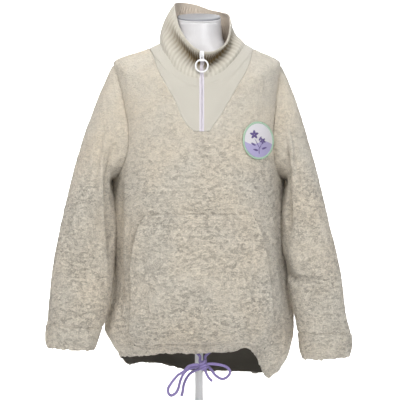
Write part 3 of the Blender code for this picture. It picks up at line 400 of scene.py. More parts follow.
FORM = (
    (0.200, 0.148, 0.094, 0.084),
    (0.206, 0.156, 0.101, 0.091),
    (0.225, 0.161, 0.105, 0.095),
    (0.300, 0.162, 0.108, 0.100),
    (0.390, 0.144, 0.098, 0.088),
    (0.470, 0.130, 0.090, 0.076),
    (0.550, 0.138, 0.096, 0.084),
    (0.630, 0.152, 0.106, 0.092),
    (0.700, 0.161, 0.100, 0.088),
    (0.745, 0.163, 0.088, 0.078),
    (0.7765, 0.154, 0.068, 0.064),
    (0.7967, 0.136, 0.054, 0.056),
    (0.8117, 0.112, 0.049, 0.053),
    (0.8235, 0.086, 0.050, 0.053),
    (0.838, 0.062, 0.051, 0.052),
    (0.860, 0.051, 0.049, 0.050),
    (0.900, 0.048, 0.048, 0.048),
)
NECK_SLANT = 0.27


def smooth(at, xs, ys):
    """A monotone cubic through a table's points: harmonic mean slopes, level where the table turns."""
    at = np.clip(at, xs[0], xs[-1])
    step = np.diff(xs)
    rise = np.diff(ys) / step
    slope = np.concatenate([[rise[0]], np.zeros(len(xs) - 2), [rise[-1]]])
    same = rise[:-1] * rise[1:] > 0
    before = 2 * step[1:] + step[:-1]
    after = step[1:] + 2 * step[:-1]
    with np.errstate(divide="ignore", invalid="ignore"):
        mean = (before + after) / (before / rise[:-1] + after / rise[1:])
    slope[1:-1] = np.where(same, mean, 0.0)
    i = np.clip(np.searchsorted(xs, at, side="right") - 1, 0, len(xs) - 2)
    t = (at - xs[i]) / step[i]
    value = ys[i] * (1 + 2 * t) * (1 - t) ** 2 + ys[i + 1] * t**2 * (3 - 2 * t)
    return value + step[i] * t * (1 - t) * (slope[i] * (1 - t) - slope[i + 1] * t)


def dress_form():
    """The torso: at each height a flattened circle, half_width by its depths to the front and the back."""
    table = np.array(FORM)
    z = np.concatenate([[0.2, 0.2012, 0.2035], np.linspace(0.206, 0.9, 150)])
    half, front, back = (smooth(z, table[:, 0], table[:, i])[:, None] for i in (1, 2, 3))
    turn = np.linspace(0, 2 * math.pi, 120, endpoint=False)[None, :]
    c, s = np.cos(turn), np.sin(turn)
    depth = np.where(s < 0, front, back)
    x = half * np.sign(c) * np.abs(c) ** 0.93
    y = depth * np.sign(s) * np.abs(s) ** 0.93
    height = np.broadcast_to(z[:, None], x.shape).copy()
    height[-1] += NECK_SLANT * y[-1]
    height[-2] += NECK_SLANT * y[-2] * 0.85
    height[-3] += NECK_SLANT * y[-3] * 0.6
    rings = np.stack([x, y, height], -1)
    low = rings[0].mean(0) + (rings[0] - rings[0].mean(0)) * np.array([0.6, 0.0])[:, None, None]
    high = rings[-1].mean(0) + (rings[-1] - rings[-1].mean(0)) * np.array([0.97, 0.0])[:, None, None]
    return np.concatenate([low[::-1], rings, high])


torso_points = dress_form()
torso = make("dress_form_jersey", torso_points, grid_quads(len(torso_points), 120, closed=True))
weld(torso)
jersey, tree, shader = finish("satin_jersey", 0.42, Coat_Weight=0.18, Coat_Roughness=0.28)
spot = node(tree, "ShaderNodeTexCoord").outputs["Object"]
stretched = node(tree, "ShaderNodeMapping", {"Vector": spot, "Scale": (1.0, 1.0, 0.12)}).outputs[0]
knit_line = node(tree, "ShaderNodeTexNoise", {"Vector": stretched, "Scale": 700.0, "Detail": 2.0}).outputs[0]
tree.links.new(blend_colour(tree, knit_line, (0.60, 0.59, 0.60), (0.67, 0.66, 0.67)), shader.inputs["Base Color"])
bump = node(tree, "ShaderNodeBump", {"Height": knit_line, "Strength": 0.12, "Distance": 0.0003})
tree.links.new(bump.outputs[0], shader.inputs["Normal"])
torso.data.materials.append(jersey)
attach(torso, "garment")
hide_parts("dress_form")


def neck_cap():
    """The cap: a 4 mm plate on the neck's slanted cut, with its rim rounded over 1 mm and a shallow dish inside."""
    rim = torso_points[-3]
    middle = rim.mean(0)
    share = np.array([0.0, 0.985, 0.99, 0.985, 0.97, 0.94, 0.5, 0.0])
    rise = np.array([0.0003, 0.0003, 0.0012, 0.0030, 0.0040, 0.0042, 0.0037, 0.0035])
    return middle + (rim - middle) * share[:, None, None] + np.array([0, 0, 1.0]) * rise[:, None, None]


cap = make("neck_cap_plate", neck_cap(), grid_quads(8, 120, closed=True))
weld(cap)
cap_plastic, tree, shader = finish("cap_plastic", 0.4)
spot = node(tree, "ShaderNodeTexCoord").outputs["Object"]
orange_peel = node(tree, "ShaderNodeTexNoise", {"Vector": spot, "Scale": 1200.0, "Detail": 2.0}).outputs[0]
tree.links.new(
    blend_colour(tree, orange_peel, (0.25, 0.255, 0.275), (0.31, 0.315, 0.335)), shader.inputs["Base Color"]
)
bump = node(tree, "ShaderNodeBump", {"Height": orange_peel, "Strength": 0.15, "Distance": 0.0002})
tree.links.new(bump.outputs[0], shader.inputs["Normal"])
cap.data.materials.append(cap_plastic)
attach(cap, "garment")
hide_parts("neck_cap")


def turned(name, profile, sides):
    """A turned piece: a profile of radius and height carried round the z axis, closed at both ends."""
    profile = np.array(profile)
    turn = np.linspace(0, 2 * math.pi, sides, endpoint=False)[None, :]
    radius = profile[:, :1]
    points = np.stack([radius * np.cos(turn), radius * np.sin(turn), profile[:, 1:] + 0 * turn], -1)
    piece = make(name, points, grid_quads(len(profile), sides, closed=True))
    weld(piece)
    return piece


foot = turned(
    "foot_plate",
    ((0, 0), (0.160, 0), (0.1645, 0.0006), (0.165, 0.002), (0.165, 0.008), (0.1645, 0.0105), (0.163, 0.0128))
    + ((0.160, 0.0140), (0.03, 0.0140), (0, 0.0140)),
    96,
)
post = turned("pole_tube", ((0, 0.0143), (0.009, 0.0143), (0.009, 0.1), (0.009, 0.1997), (0, 0.1997)), 40)
lacquer, tree, shader = finish("white_lacquer", 0.32, Coat_Weight=0.3, Coat_Roughness=0.15)
spot = node(tree, "ShaderNodeTexCoord").outputs["Object"]
peel = node(tree, "ShaderNodeTexNoise", {"Vector": spot, "Scale": 260.0, "Detail": 3.0}).outputs[0]
tree.links.new(blend_colour(tree, peel, (0.77, 0.77, 0.77), (0.82, 0.82, 0.82)), shader.inputs["Base Color"])
bump = node(tree, "ShaderNodeBump", {"Height": peel, "Strength": 0.08, "Distance": 0.0004})
tree.links.new(bump.outputs[0], shader.inputs["Normal"])
for piece, carried in ((foot, "base_plate"), (post, "pole")):
    piece.data.materials.append(lacquer)
    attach(piece, "garment")
    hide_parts(carried)

# Front
# One panel of cream teddy fleece, cut with armholes and a deep V for the yoke. The pile is short and curly, the
# reverse is a smooth grey-olive backing, painted much darker as shade for the garment's inside, and the hem is
# turned up as a casing, gathered a little by the drawstring.

FLEECE_WALL = 0.0050
SQUARENESS = 0.87
HEM_BLEND = 0.11
GATHER_COUNT = 11
GATHER_DEPTH = 0.0025
V_BOTTOM = 0.79
V_TOP = 0.97
SHOULDER_TIP = 0.90
UNDERARM = 0.62


def columns(names, rows):
    values = np.array(rows, float)
    return {name: values[:, i] for i, name in enumerate(names.split())}


BODY = columns(
    "v left_z right_z front_z back_z left_half right_half front_depth back_depth",
    (
        (0.000, 0.160, 0.124, 0.172, 0.109, 0.174, 0.176, 0.118, 0.112),
        (0.045, 0.186, 0.160, 0.196, 0.135, 0.192, 0.197, 0.136, 0.128),
        (0.110, 0.215, 0.203, 0.233, 0.180, 0.2075, 0.2055, 0.148, 0.138),
        (0.170, 0.250, 0.248, 0.272, 0.232, 0.2015, 0.2045, 0.152, 0.140),
        (0.240, 0.300, 0.300, 0.318, 0.290, 0.187, 0.194, 0.151, 0.138),
        (0.360, 0.385, 0.385, 0.395, 0.375, 0.185, 0.186, 0.148, 0.132),
        (0.500, 0.475, 0.475, 0.482, 0.470, 0.183, 0.180, 0.146, 0.128),
        (0.620, 0.545, 0.545, 0.552, 0.545, 0.179, 0.1755, 0.143, 0.124),
        (0.790, 0.672, 0.672, 0.645, 0.670, 0.180, 0.178, 0.131, 0.113),
        (0.900, 0.800, 0.798, 0.725, 0.785, 0.188, 0.180, 0.117, 0.088),
        (0.960, 0.831, 0.829, 0.745, 0.824, 0.117, 0.127, 0.111, 0.078),
        (1.000, 0.845, 0.843, 0.760, 0.842, 0.087, 0.103, 0.106, 0.070),
    ),
)
HEM_LIFT = columns(
    "angle spread lift",
    (
        (34, 13, 0.026),
        (54, 11, -0.024),
        (12, 12, 0.005),
        (-18, 12, 0.004),
        (122, 24, -0.009),
        (205, 18, 0.008),
        (246, 18, -0.018),
    ),
)
BODY_FOLDS = columns(
    "angle spread lean low_v high_v depth",
    (
        (-70, 7, 10, 0.05, 0.60, -0.0060),
        (-52, 9, 6, 0.02, 0.50, 0.0035),
        (72, 7, -6, 0.04, 0.52, -0.0050),
        (84, 6, 0, 0.02, 0.40, 0.0030),
        (-34, 10, -14, 0.60, 0.86, 0.0025),
        (24, 9, 20, 0.50, 0.74, -0.0020),
        (38, 7, 10, 0.80, 0.99, 0.0030),
        (-52, 8, -10, 0.80, 0.98, 0.0025),
        (150, 12, 16, 0.10, 0.70, -0.0060),
        (178, 11, -6, 0.05, 0.62, 0.0045),
        (206, 12, -18, 0.15, 0.78, -0.0055),
        (128, 10, 4, 0.10, 0.50, 0.0040),
        (232, 10, -8, 0.10, 0.56, 0.0040),
        (-96, 13, 0, 0.10, 0.72, 0.0085),
        (96, 13, 0, 0.10, 0.72, 0.0085),
        (-95, 12, 0, 0.42, 0.78, 0.0070),
        (95, 12, 0, 0.42, 0.78, 0.0070),
    ),
)
ARMHOLE = columns(
    "v front_left front_right back_left back_right",
    (
        (0.620, 90, 90, 90, 90),
        (0.635, 78, 81, 80, 80),
        (0.655, 69, 74, 73, 73),
        (0.685, 62, 69, 67, 67),
        (0.720, 58, 66, 63, 63),
        (0.755, 57, 65, 62, 62),
        (0.790, 58, 66, 62, 62),
        (0.820, 61, 68, 64, 64),
        (0.850, 65, 72, 68, 68),
        (0.875, 72, 77, 74, 74),
        (0.890, 80, 83, 81, 81),
        (0.900, 90, 90, 90, 90),
    ),
)
V_LINE = columns(
    "height left right",
    (
        (0.645, 0.0095, 0.0215),
        (0.658, 0.0235, 0.0310),
        (0.680, 0.0375, 0.0470),
        (0.708, 0.0490, 0.0630),
        (0.743, 0.0680, 0.0825),
        (0.785, 0.0900, 0.1050),
        (0.815, 0.0990, 0.1150),
        (0.845, 0.1060, 0.1200),
    ),
)


def apart(angle, centre):
    return np.mod(angle - centre + 180, 360) - 180


def window(value, low, high):
    """1 inside low to high, easing to 0 at both ends."""
    t = np.clip((value - low) / (high - low), 0, 1)
    return np.sin(math.pi * t) ** 0.7


def body(theta, v):
    """The body's outer surface. theta is 0 at the front centre and 90 at the viewer's right, v is 0 to 1, hem to neck.

    Each ring is a flattened ellipse from the table, with its height eased between sides, front and back, the hem
    lifted in places, gathers near it, and soft folds that are bell curves round a leaning line.
    """
    theta, v = np.broadcast_arrays(np.asarray(theta, float), np.asarray(v, float))
    at = {name: smooth(v, BODY["v"], values) for name, values in BODY.items()}
    s = np.sin(np.radians(theta))
    c = np.cos(np.radians(theta))
    half = np.where(s < 0, at["left_half"], at["right_half"])
    side_z = np.where(s < 0, at["left_z"], at["right_z"])
    depth = np.where(c > 0, at["front_depth"], at["back_depth"])
    end_z = np.where(c > 0, at["front_z"], at["back_z"])
    x = half * np.sign(s) * np.abs(s) ** SQUARENESS
    y = -depth * np.sign(c) * np.abs(c) ** SQUARENESS
    z = side_z * s**2 + end_z * c**2
    near_hem = np.clip(1 - v / HEM_BLEND, 0, 1) ** 2
    for angle, spread, lift in zip(*HEM_LIFT.values()):
        z = z + lift * near_hem * np.exp(-((apart(theta, angle) / spread) ** 2))
    out = GATHER_DEPTH * np.cos(np.radians(theta * GATHER_COUNT)) * window(v, -0.02, 0.12)
    for angle, spread, lean, low, high, fold in zip(*BODY_FOLDS.values()):
        middle = angle + lean * (v - (low + high) / 2)
        out = out + fold * np.exp(-((apart(theta, middle) / spread) ** 2)) * window(v, low, high)
    return np.stack([x + out * s, y - out * c, z], axis=-1)


def body_normal(theta, v):
    theta, v = np.broadcast_arrays(np.asarray(theta, float), np.asarray(v, float))
    across = body(theta + 0.8, v) - body(theta - 0.8, v)
    along = body(theta, np.minimum(v + 0.005, 1)) - body(theta, np.maximum(v - 0.005, 0))
    return unit(np.cross(across, along))


def v_line_angle(side, v):
    """The angle at which each ring v crosses the yoke's V edge, on the left (-1) or the right (1)."""
    angles = side * np.linspace(0.2, 90, 700)
    points = body(angles[None, :], np.asarray(v, float)[:, None])
    edge = smooth(points[..., 2], V_LINE["height"], V_LINE["left" if side < 0 else "right"])
    over = np.abs(points[..., 0]) - edge
    i = np.clip(np.argmax(over >= 0, axis=1), 1, None)
    row = np.arange(len(over))
    share = over[row, i - 1] / (over[row, i - 1] - over[row, i])
    found = np.abs(angles[i - 1] + (angles[i] - angles[i - 1]) * share)
    return np.where((over >= 0).any(axis=1), found, 90.0)


def armhole(v):
    found = {name: smooth(v, ARMHOLE["v"], values) for name, values in ARMHOLE.items()}
    return found["front_left"], found["front_right"], found["back_left"], found["back_right"]


def waves(a, b, seed, period=None):
    """Smooth noise from -1 to 1: random values on a lattice of unit cells, eased between by a cubic."""
    table = np.random.default_rng(seed).uniform(-1, 1, (256, 256))
    i = np.floor(a).astype(int)
    j = np.floor(b).astype(int)
    p = a - i
    q = b - j
    p = p * p * (3 - 2 * p)
    q = q * q * (3 - 2 * q)
    wrap = period or 256
    i0, i1, j0, j1 = i % wrap, (i + 1) % wrap, j % 256, (j + 1) % 256
    low = table[i0, j0] * (1 - p) + table[i1, j0] * p
    high = table[i0, j1] * (1 - p) + table[i1, j1] * p
    return low * (1 - q) + high * q


PILE_DEPTH = 0.0015


def curly_pile(across, along, seed, around=None):
    """Tufted pile, 0 between the tufts and 1 on them, at lengths in metres.

    Noise is folded at zero, which leaves narrow hollows between rounded tufts, and a broader noise bends them.
    around is the length in which the pattern meets itself on a tube.
    """
    cell = 0.0160
    period = None
    wide = across / cell
    if around is not None:
        period = max(4, int(round(float(np.mean(around)) / cell)))
        wide = across / around * period
    bend = waves(wide / 2 if around is None else wide, along / 0.024, seed + 1, period)
    return np.clip(np.sqrt(np.abs(waves(wide + 0.5 * bend, along / 0.0105 + 0.7 * bend, seed + 2, period))), 0, 1)


def lengths_from(points, axis):
    """Lengths along the rows or columns of a grid of points, from its first."""
    steps = np.linalg.norm(np.diff(points, axis=axis), axis=-1)
    start = np.zeros_like(np.take(steps, [0], axis=axis))
    return np.cumsum(np.concatenate([start, steps], axis=axis), axis=axis)


def wall(name, outer, inner, relief_and_painted_shade, flat, closed=False, keep=None):
    """A cloth wall: an outer and an inner grid of points with a rim between their edges.

    keep leaves out cells of the grid. The point attribute goes from 0 in the partings to 1 on the curls, and the
    finishes paint shade where it is low; on the knit pieces it holds only painted shade, and the inner points take
    0.55, which a knit finish paints as part shade. The UV map cut holds the flat lengths, and faces of the inner grid
    take the second material.
    """
    rows, across = outer.shape[:2]
    shift = rows * across
    face = grid_quads(rows, across, closed)
    if keep is not None:
        face = face[keep.ravel()]
    starts = face.ravel().astype(np.int64)
    ends = np.roll(face, -1, axis=1).ravel().astype(np.int64)
    lone = ~np.isin(starts * shift + ends, ends * shift + starts)
    starts = starts[lone]
    ends = ends[lone]
    rim = np.stack([ends, starts, starts + shift, ends + shift], -1)
    quads = np.concatenate([face, rim, face[:, ::-1] + shift])
    used, quads = np.unique(quads, return_inverse=True)
    quads = quads.reshape(-1, 4)
    points = np.concatenate([outer.reshape(-1, 3), inner.reshape(-1, 3)])[used]
    piece = make(name, points, quads)
    made = piece.data.attributes.new("relief_and_painted_shade", "FLOAT", "POINT")
    made.data.foreach_set("value", np.concatenate([relief_and_painted_shade.ravel(), np.full(shift, 0.55)])[used])
    slots = np.repeat([0, 1], [len(face) + len(rim), len(face)]).astype(np.int32)
    piece.data.polygons.foreach_set("material_index", slots)
    layer = piece.data.uv_layers.new(name="cut")
    flats = np.concatenate([flat.reshape(-1, 2), flat.reshape(-1, 2)])[used]
    layer.data.foreach_set("uv", flats[quads.ravel()].ravel())
    return piece


def rounded(distance, radius):
    """How far a wall's face draws in near a free edge, so that the edge is a half circle."""
    inside = np.clip(radius - distance, 0, radius)
    return radius - np.sqrt(radius**2 - inside**2)


def seam_dip(distance, depth=0.0030, spread=0.0040):
    """How far a face dips toward a sewn seam."""
    return depth * np.exp(-((distance / spread) ** 2))


def creases(across, along, table):
    """Listed creases: a trough or ridge along each line, with a bell across, uneven depth and faded ends.

    Each row is x0, y0, x1, y1, spread, depth, in the units of across and along, which stand for any two lengths.
    """
    total = np.zeros(np.broadcast(across, along).shape)
    for number, (x0, y0, x1, y1, spread, depth) in enumerate(table):
        long = math.hypot(x1 - x0, y1 - y0)
        way_x, way_y = (x1 - x0) / long, (y1 - y0) / long
        t = ((across - x0) * way_x + (along - y0) * way_y) / long
        bend = 0.35 * spread * np.sin(5.0 * t + 1.7 * number)
        off = (across - x0) * way_y - (along - y0) * way_x + bend
        uneven = 0.8 + 0.2 * np.sin(9.0 * t + 2.3 * number)
        width = spread * (0.75 + 0.5 * np.clip(t, 0, 1))
        total = total + depth * uneven * np.exp(-((off / width) ** 2)) * window(t, -0.12, 1.12) ** 1.4
    return total


def hem_rows(low, high, count):
    """Rows from a free lower edge, close together where the edge rounds over."""
    return np.concatenate([low + np.array([0, 0.0008, 0.0022, 0.0042, 0.0068]), np.linspace(low + 0.011, high, count)])


FRONT_CREASES = (
    (-0.205, 0.37, -0.178, 0.07, 0.0100, -0.0070),
    (-0.184, 0.38, -0.160, 0.14, 0.0120, 0.0036),
    (-0.190, 0.08, -0.145, 0.112, 0.0090, -0.0046),
    (-0.120, 0.33, -0.134, 0.20, 0.0130, -0.0030),
    (0.150, 0.34, 0.162, 0.10, 0.0090, -0.0035),
    (0.170, 0.30, 0.176, 0.08, 0.0080, 0.0030),
    (0.128, 0.22, 0.140, 0.05, 0.0110, 0.0022),
    (-0.150, 0.56, -0.110, 0.42, 0.0130, -0.0022),
    (0.140, 0.52, 0.100, 0.44, 0.0130, -0.0020),
    (-0.060, 0.46, 0.020, 0.43, 0.0160, 0.0016),
    (-0.020, 0.40, 0.080, 0.385, 0.0140, -0.0014),
    (-0.090, 0.345, -0.010, 0.365, 0.0110, -0.0012),
    (0.030, 0.340, 0.110, 0.352, 0.0110, 0.0013),
    (-0.125, 0.070, -0.060, 0.052, 0.0110, 0.0024),
    (-0.040, 0.060, 0.060, 0.048, 0.0100, -0.0016),
    (0.070, 0.060, 0.130, 0.085, 0.0110, 0.0022),
    (-0.140, 0.66, -0.110, 0.585, 0.0110, 0.0018),
    (0.125, 0.66, 0.148, 0.60, 0.0100, 0.0020),
)


def shoulder_calm(points):
    """The pile lies flatter over the chest and shoulders: 1 below, 0.45 at the shoulders."""
    return 1.0 - 0.55 * np.clip((points[..., 2] - 0.60) / 0.14, 0, 1)


def lengths_at(theta, v, centre=0.0):
    """The arc length along each ring from the centre angle to theta, less than nothing on the viewer's left."""
    fine = np.linspace(0, 90, 46)
    away = theta - centre
    total = np.zeros(np.broadcast(theta, v).shape)
    at = np.clip(np.abs(away), 0, 89.99) / 2.0
    i = np.floor(at).astype(int)
    for side in (-1, 1):
        lengths = lengths_from(body(centre + side * fine[None, :], np.asarray(v, float).reshape(-1, 1)), 1)
        row = np.arange(lengths.shape[0])[:, None] + 0 * i
        value = side * (lengths[row, i] + (lengths[row, i + 1] - lengths[row, i]) * (at - i))
        total = np.where(np.sign(away) == side, value, total)
    return total


def fringe(surface, across, from_edge, seed, period=None):
    """How far the curls hang past a free edge, up to 4 mm, with a different length every few millimetres."""
    hang = 0.0040 * np.abs(waves(across, 0 * across, seed + 5, period)) * np.exp(-((from_edge / 0.0060) ** 2))
    return unit(np.gradient(surface, axis=0)) * hang[..., None]


def fleece_on_body(theta, v, crease_table, seed, seams, centre=0.0):
    """Outer and inner points of fleece on the body, its pile values and its lengths across and along.

    The face sinks between the curls, toward each seam, whose distances seams gives, over the casing's stitch line
    and in small puckers below it, and the free hem is rounded over.
    """
    surface = body(theta, v)
    way = body_normal(theta, v)
    along = lengths_from(surface, 0)
    side_x = lengths_at(theta, v, centre)
    shape = surface + way * creases(side_x, along, crease_table)[..., None]
    relief_and_painted_shade = curly_pile(side_x, along, seed)
    drop = PILE_DEPTH * shoulder_calm(surface) * (1 - relief_and_painted_shade)
    for distance in seams:
        drop = drop * (1 - np.exp(-((distance / 0.0015) ** 2))) + seam_dip(distance)
    draw = rounded(along, FLEECE_WALL / 2)
    drop = drop + draw + 0.0022 * np.exp(-(((along - 0.0125) / 0.0028) ** 2))
    drop = drop + 0.0011 * np.sin(side_x / 0.0047 + 2.0 * np.sin(side_x / 0.03)) * np.exp(-((along / 0.022) ** 2))
    outer = shape - way * drop[..., None] - fringe(surface, side_x / 0.0085, along, seed)
    inner = shape - way * (FLEECE_WALL - draw)[..., None]
    return outer, inner, relief_and_painted_shade, np.stack([side_x, along], -1)


curl_group = bpy.data.node_groups.new("fibre_curls", "ShaderNodeTree")
for direction, kind, label in (
    ("INPUT", "NodeSocketVector", "Place"),
    ("INPUT", "NodeSocketFloat", "Size"),
    ("OUTPUT", "NodeSocketFloat", "Height"),
    ("OUTPUT", "NodeSocketFloat", "Mottle"),
):
    curl_group.interface.new_socket(label, in_out=direction, socket_type=kind)
inlet = curl_group.nodes.new("NodeGroupInput")
outlet = curl_group.nodes.new("NodeGroupOutput")
place = inlet.outputs["Place"]
scale = math_node(curl_group, "DIVIDE", 1.0, inlet.outputs["Size"])
warp = node(curl_group, "ShaderNodeTexNoise", {"Vector": place, "Scale": scale, "Detail": 2.0}).outputs[1]
push = node(curl_group, "ShaderNodeVectorMath", {0: warp, "Scale": 0.006}, operation="SCALE").outputs[0]
moved = node(curl_group, "ShaderNodeVectorMath", {0: place, 1: push}).outputs[0]
twice = math_node(curl_group, "MULTIPLY", scale, 1.6)
curl = node(curl_group, "ShaderNodeTexVoronoi", {"Vector": moved, "Scale": twice}, feature="SMOOTH_F1").outputs[0]
hairs = math_node(curl_group, "MULTIPLY", scale, 3.5)
hair_noise = {"Vector": moved, "Scale": hairs, "Detail": 4.0, "Roughness": 0.65}
fuzz = node(curl_group, "ShaderNodeTexNoise", hair_noise).outputs[0]
rounds = math_node(curl_group, "MULTIPLY", curl, 0.6)
height = math_node(curl_group, "SUBTRACT", math_node(curl_group, "MULTIPLY", fuzz, 0.9), rounds)
curl_group.links.new(height, outlet.inputs["Height"])
broad = node(curl_group, "ShaderNodeTexNoise", {"Vector": place, "Scale": 9.0, "Detail": 2.0}).outputs[0]
curl_group.links.new(broad, outlet.inputs["Mottle"])


def curls(tree, spot, size):
    """Places the curls group and gives back its height and mottle outputs."""
    made = node(tree, "ShaderNodeGroup", {}, node_tree=curl_group)
    tree.links.new(spot, made.inputs["Place"])
    made.inputs["Size"].default_value = size
    return made.outputs["Height"], made.outputs["Mottle"]


def partings(tree, spot):
    """Short, mostly level partings in the pile, 1 in the middle of each: where a stretched noise crosses its mean.
    The fleece finish paints shade along them.
    """
    level = node(tree, "ShaderNodeVectorMath", {0: spot, 1: (1.0, 1.0, 1.9)}, operation="MULTIPLY").outputs[0]
    bent = {"Vector": level, "Scale": 150.0, "Detail": 2.0, "Roughness": 0.6, "Distortion": 1.1}
    veins = node(tree, "ShaderNodeTexNoise", bent).outputs[0]
    away = math_node(tree, "ABSOLUTE", math_node(tree, "SUBTRACT", veins, 0.5))
    line = node(tree, "ShaderNodeMapRange", {0: away, 1: 0.0, 2: 0.095, 3: 1.0, 4: 0.0}, clamp=True).outputs[0]
    breaks = node(tree, "ShaderNodeTexNoise", {"Vector": level, "Scale": 85.0, "Detail": 1.0}).outputs[0]
    here = node(tree, "ShaderNodeMapRange", {0: breaks, 1: 0.42, 2: 0.58, 3: 0.15, 4: 1.0}, clamp=True).outputs[0]
    areas = node(tree, "ShaderNodeTexNoise", {"Vector": spot, "Scale": 16.0, "Detail": 1.0}).outputs[0]
    there = node(tree, "ShaderNodeMapRange", {0: areas, 1: 0.36, 2: 0.60, 3: 0.62, 4: 1.0}, clamp=True).outputs[0]
    return math_node(tree, "MULTIPLY", math_node(tree, "MULTIPLY", line, here), there)


def dabs(tree, spot):
    """The pile's finer light and dark, tuft by tuft, from 0 to 1."""
    level = node(tree, "ShaderNodeVectorMath", {0: spot, 1: (1.0, 1.0, 1.5)}, operation="MULTIPLY").outputs[0]
    tufts = {"Vector": level, "Scale": 270.0, "Detail": 2.0, "Roughness": 0.55, "Distortion": 0.5}
    found = node(tree, "ShaderNodeTexNoise", tufts).outputs[0]
    return node(tree, "ShaderNodeMapRange", {0: found, 1: 0.36, 2: 0.64, 3: 0.0, 4: 1.0}, clamp=True).outputs[0]


teddy, tree, shader = finish("teddy_fleece", 0.95, Sheen_Weight=0.30, Sheen_Roughness=0.55, Specular_IOR_Level=0.15)
spot = node(tree, "ShaderNodeTexCoord").outputs["Object"]
height, mottle = curls(tree, spot, 0.0040)
upward = node(tree, "ShaderNodeSeparateXYZ", {0: spot}).outputs[2]
calm_share = node(tree, "ShaderNodeMapRange", {0: upward, 1: 0.50, 2: 0.72, 3: 0.29, 4: 0.12}, clamp=True).outputs[0]
parting = math_node(tree, "MULTIPLY", partings(tree, spot), math_node(tree, "MULTIPLY", calm_share, 3.6))
# Painted shade: the colour turns toward the darker deep colour between the curls, where the point attribute is low, and
# along the partings, more toward the hem than at the shoulders.
tuft = node(tree, "ShaderNodeAttribute", attribute_name="relief_and_painted_shade").outputs["Fac"]
lit = node(tree, "ShaderNodeMapRange", {0: tuft, 1: 0.10, 2: 0.60, 3: 0.80, 4: 1.0}, clamp=True).outputs[0]
patchy = node(tree, "ShaderNodeMapRange", {0: mottle, 1: 0.35, 2: 0.65, 3: 0.0, 4: 1.0}, clamp=True).outputs[0]
wool = blend_colour(tree, patchy, (0.715, 0.660, 0.560), (0.755, 0.672, 0.545))
deep = blend_colour(tree, patchy, (0.370, 0.330, 0.270), (0.390, 0.335, 0.262))
open_share = math_node(tree, "MULTIPLY", lit, math_node(tree, "SUBTRACT", 1.0, parting))
tone_with_painted_shade = blend_colour(tree, open_share, deep, wool)
dab = dabs(tree, spot)
fine = math_node(tree, "MULTIPLY_ADD", math_node(tree, "SUBTRACT", dab, 0.5), calm_share, 0.99)
grey = node(tree, "ShaderNodeCombineColor", {0: fine, 1: fine, 2: fine}).outputs[0]
tree.links.new(blend_colour(tree, 1.0, tone_with_painted_shade, grey, "MULTIPLY"), shader.inputs["Base Color"])
relief = math_node(tree, "SUBTRACT", math_node(tree, "ADD", height, dab), parting)
bump = node(tree, "ShaderNodeBump", {"Height": relief, "Strength": 0.8, "Distance": 0.0022})
tree.links.new(bump.outputs[0], shader.inputs["Normal"])

backing_and_painted_shade, tree, shader = finish("fleece_backing", 0.9, Sheen_Weight=0.1, Specular_IOR_Level=0.1)
spot = node(tree, "ShaderNodeTexCoord").outputs["Object"]
height, mottle = curls(tree, spot, 0.0014)
# Painted shade: the reverse is partly its own greyish colour and partly painted a very dark olive-grey as the shade
# inside the garment.
tree.links.new(blend_colour(tree, mottle, (0.100, 0.092, 0.075), (0.150, 0.138, 0.115)), shader.inputs["Base Color"])
bump = node(tree, "ShaderNodeBump", {"Height": height, "Strength": 0.4, "Distance": 0.0006})
tree.links.new(bump.outputs[0], shader.inputs["Normal"])


def fleece_piece(name, carried, grid, closed=False, keep=None):
    """Makes one fleece piece with its two materials, hangs it on the garment's body and hides the part it stands for.
    """
    piece = wall(name, *grid, closed=closed, keep=keep)
    piece.data.materials.append(teddy)
    piece.data.materials.append(backing_and_painted_shade)
    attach(piece, "garment")
    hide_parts(carried)
    return piece


def front_panel():
    """The front: columns from each armhole in to the V edge, and a strip between them that ends at the V's point."""
    rows = np.concatenate([hem_rows(0.0, V_BOTTOM, 178)[:-1], np.linspace(V_BOTTOM, V_TOP, 46)])
    cut = int(np.argmin(abs(rows - V_BOTTOM)))
    front_left, front_right, _, _ = armhole(rows)
    edges = []
    for side in (-1, 1):
        edge = v_line_angle(side, rows[cut:])
        edge[-1] = 90
        edges.append(np.concatenate([np.full(cut, edge[0]), edge]))
    share = np.linspace(0, 1, 80)[None, :]
    left = -front_left[:, None] + (front_left - edges[0])[:, None] * share
    right = edges[1][:, None] + (front_right - edges[1])[:, None] * share
    strip = np.linspace(0, 1, 13)[None, 1:-1]
    middle = -edges[0][:, None] + (edges[1] + edges[0])[:, None] * strip
    theta = np.concatenate([left, middle, right], axis=1)
    surface = body(theta, rows[:, None])
    across = lengths_from(surface, 1)
    along = lengths_from(surface, 0)
    far = 1.0
    above = (np.arange(len(rows)) > cut)[:, None]
    in_left = np.arange(theta.shape[1])[None, :] < 80
    in_right = np.arange(theta.shape[1])[None, :] >= 91
    to_v = np.where(above & in_left, across[:, 79:80] - across, far)
    to_v = np.where(above & in_right, across - across[:, 91:92], to_v)
    point_row = surface[cut : cut + 1, 79:92]
    nearest = np.full(theta.shape, far)
    for column in range(0, 13, 2):
        nearest = np.minimum(nearest, np.linalg.norm(surface - point_row[:, column : column + 1], axis=-1))
    to_v = np.minimum(to_v, np.where(above, far, nearest))
    seams = (across, across[:, -1:] - across, to_v * 2.2)
    grid = fleece_on_body(theta, rows[:, None], FRONT_CREASES, 11, seams)
    keep = np.ones((len(rows) - 1, theta.shape[1] - 1), bool)
    keep[cut:, 79:91] = False
    return grid, keep, edges


front_grid, front_keep, yoke_edges = front_panel()
fleece_piece("front_fleece", "front", front_grid, keep=front_keep)
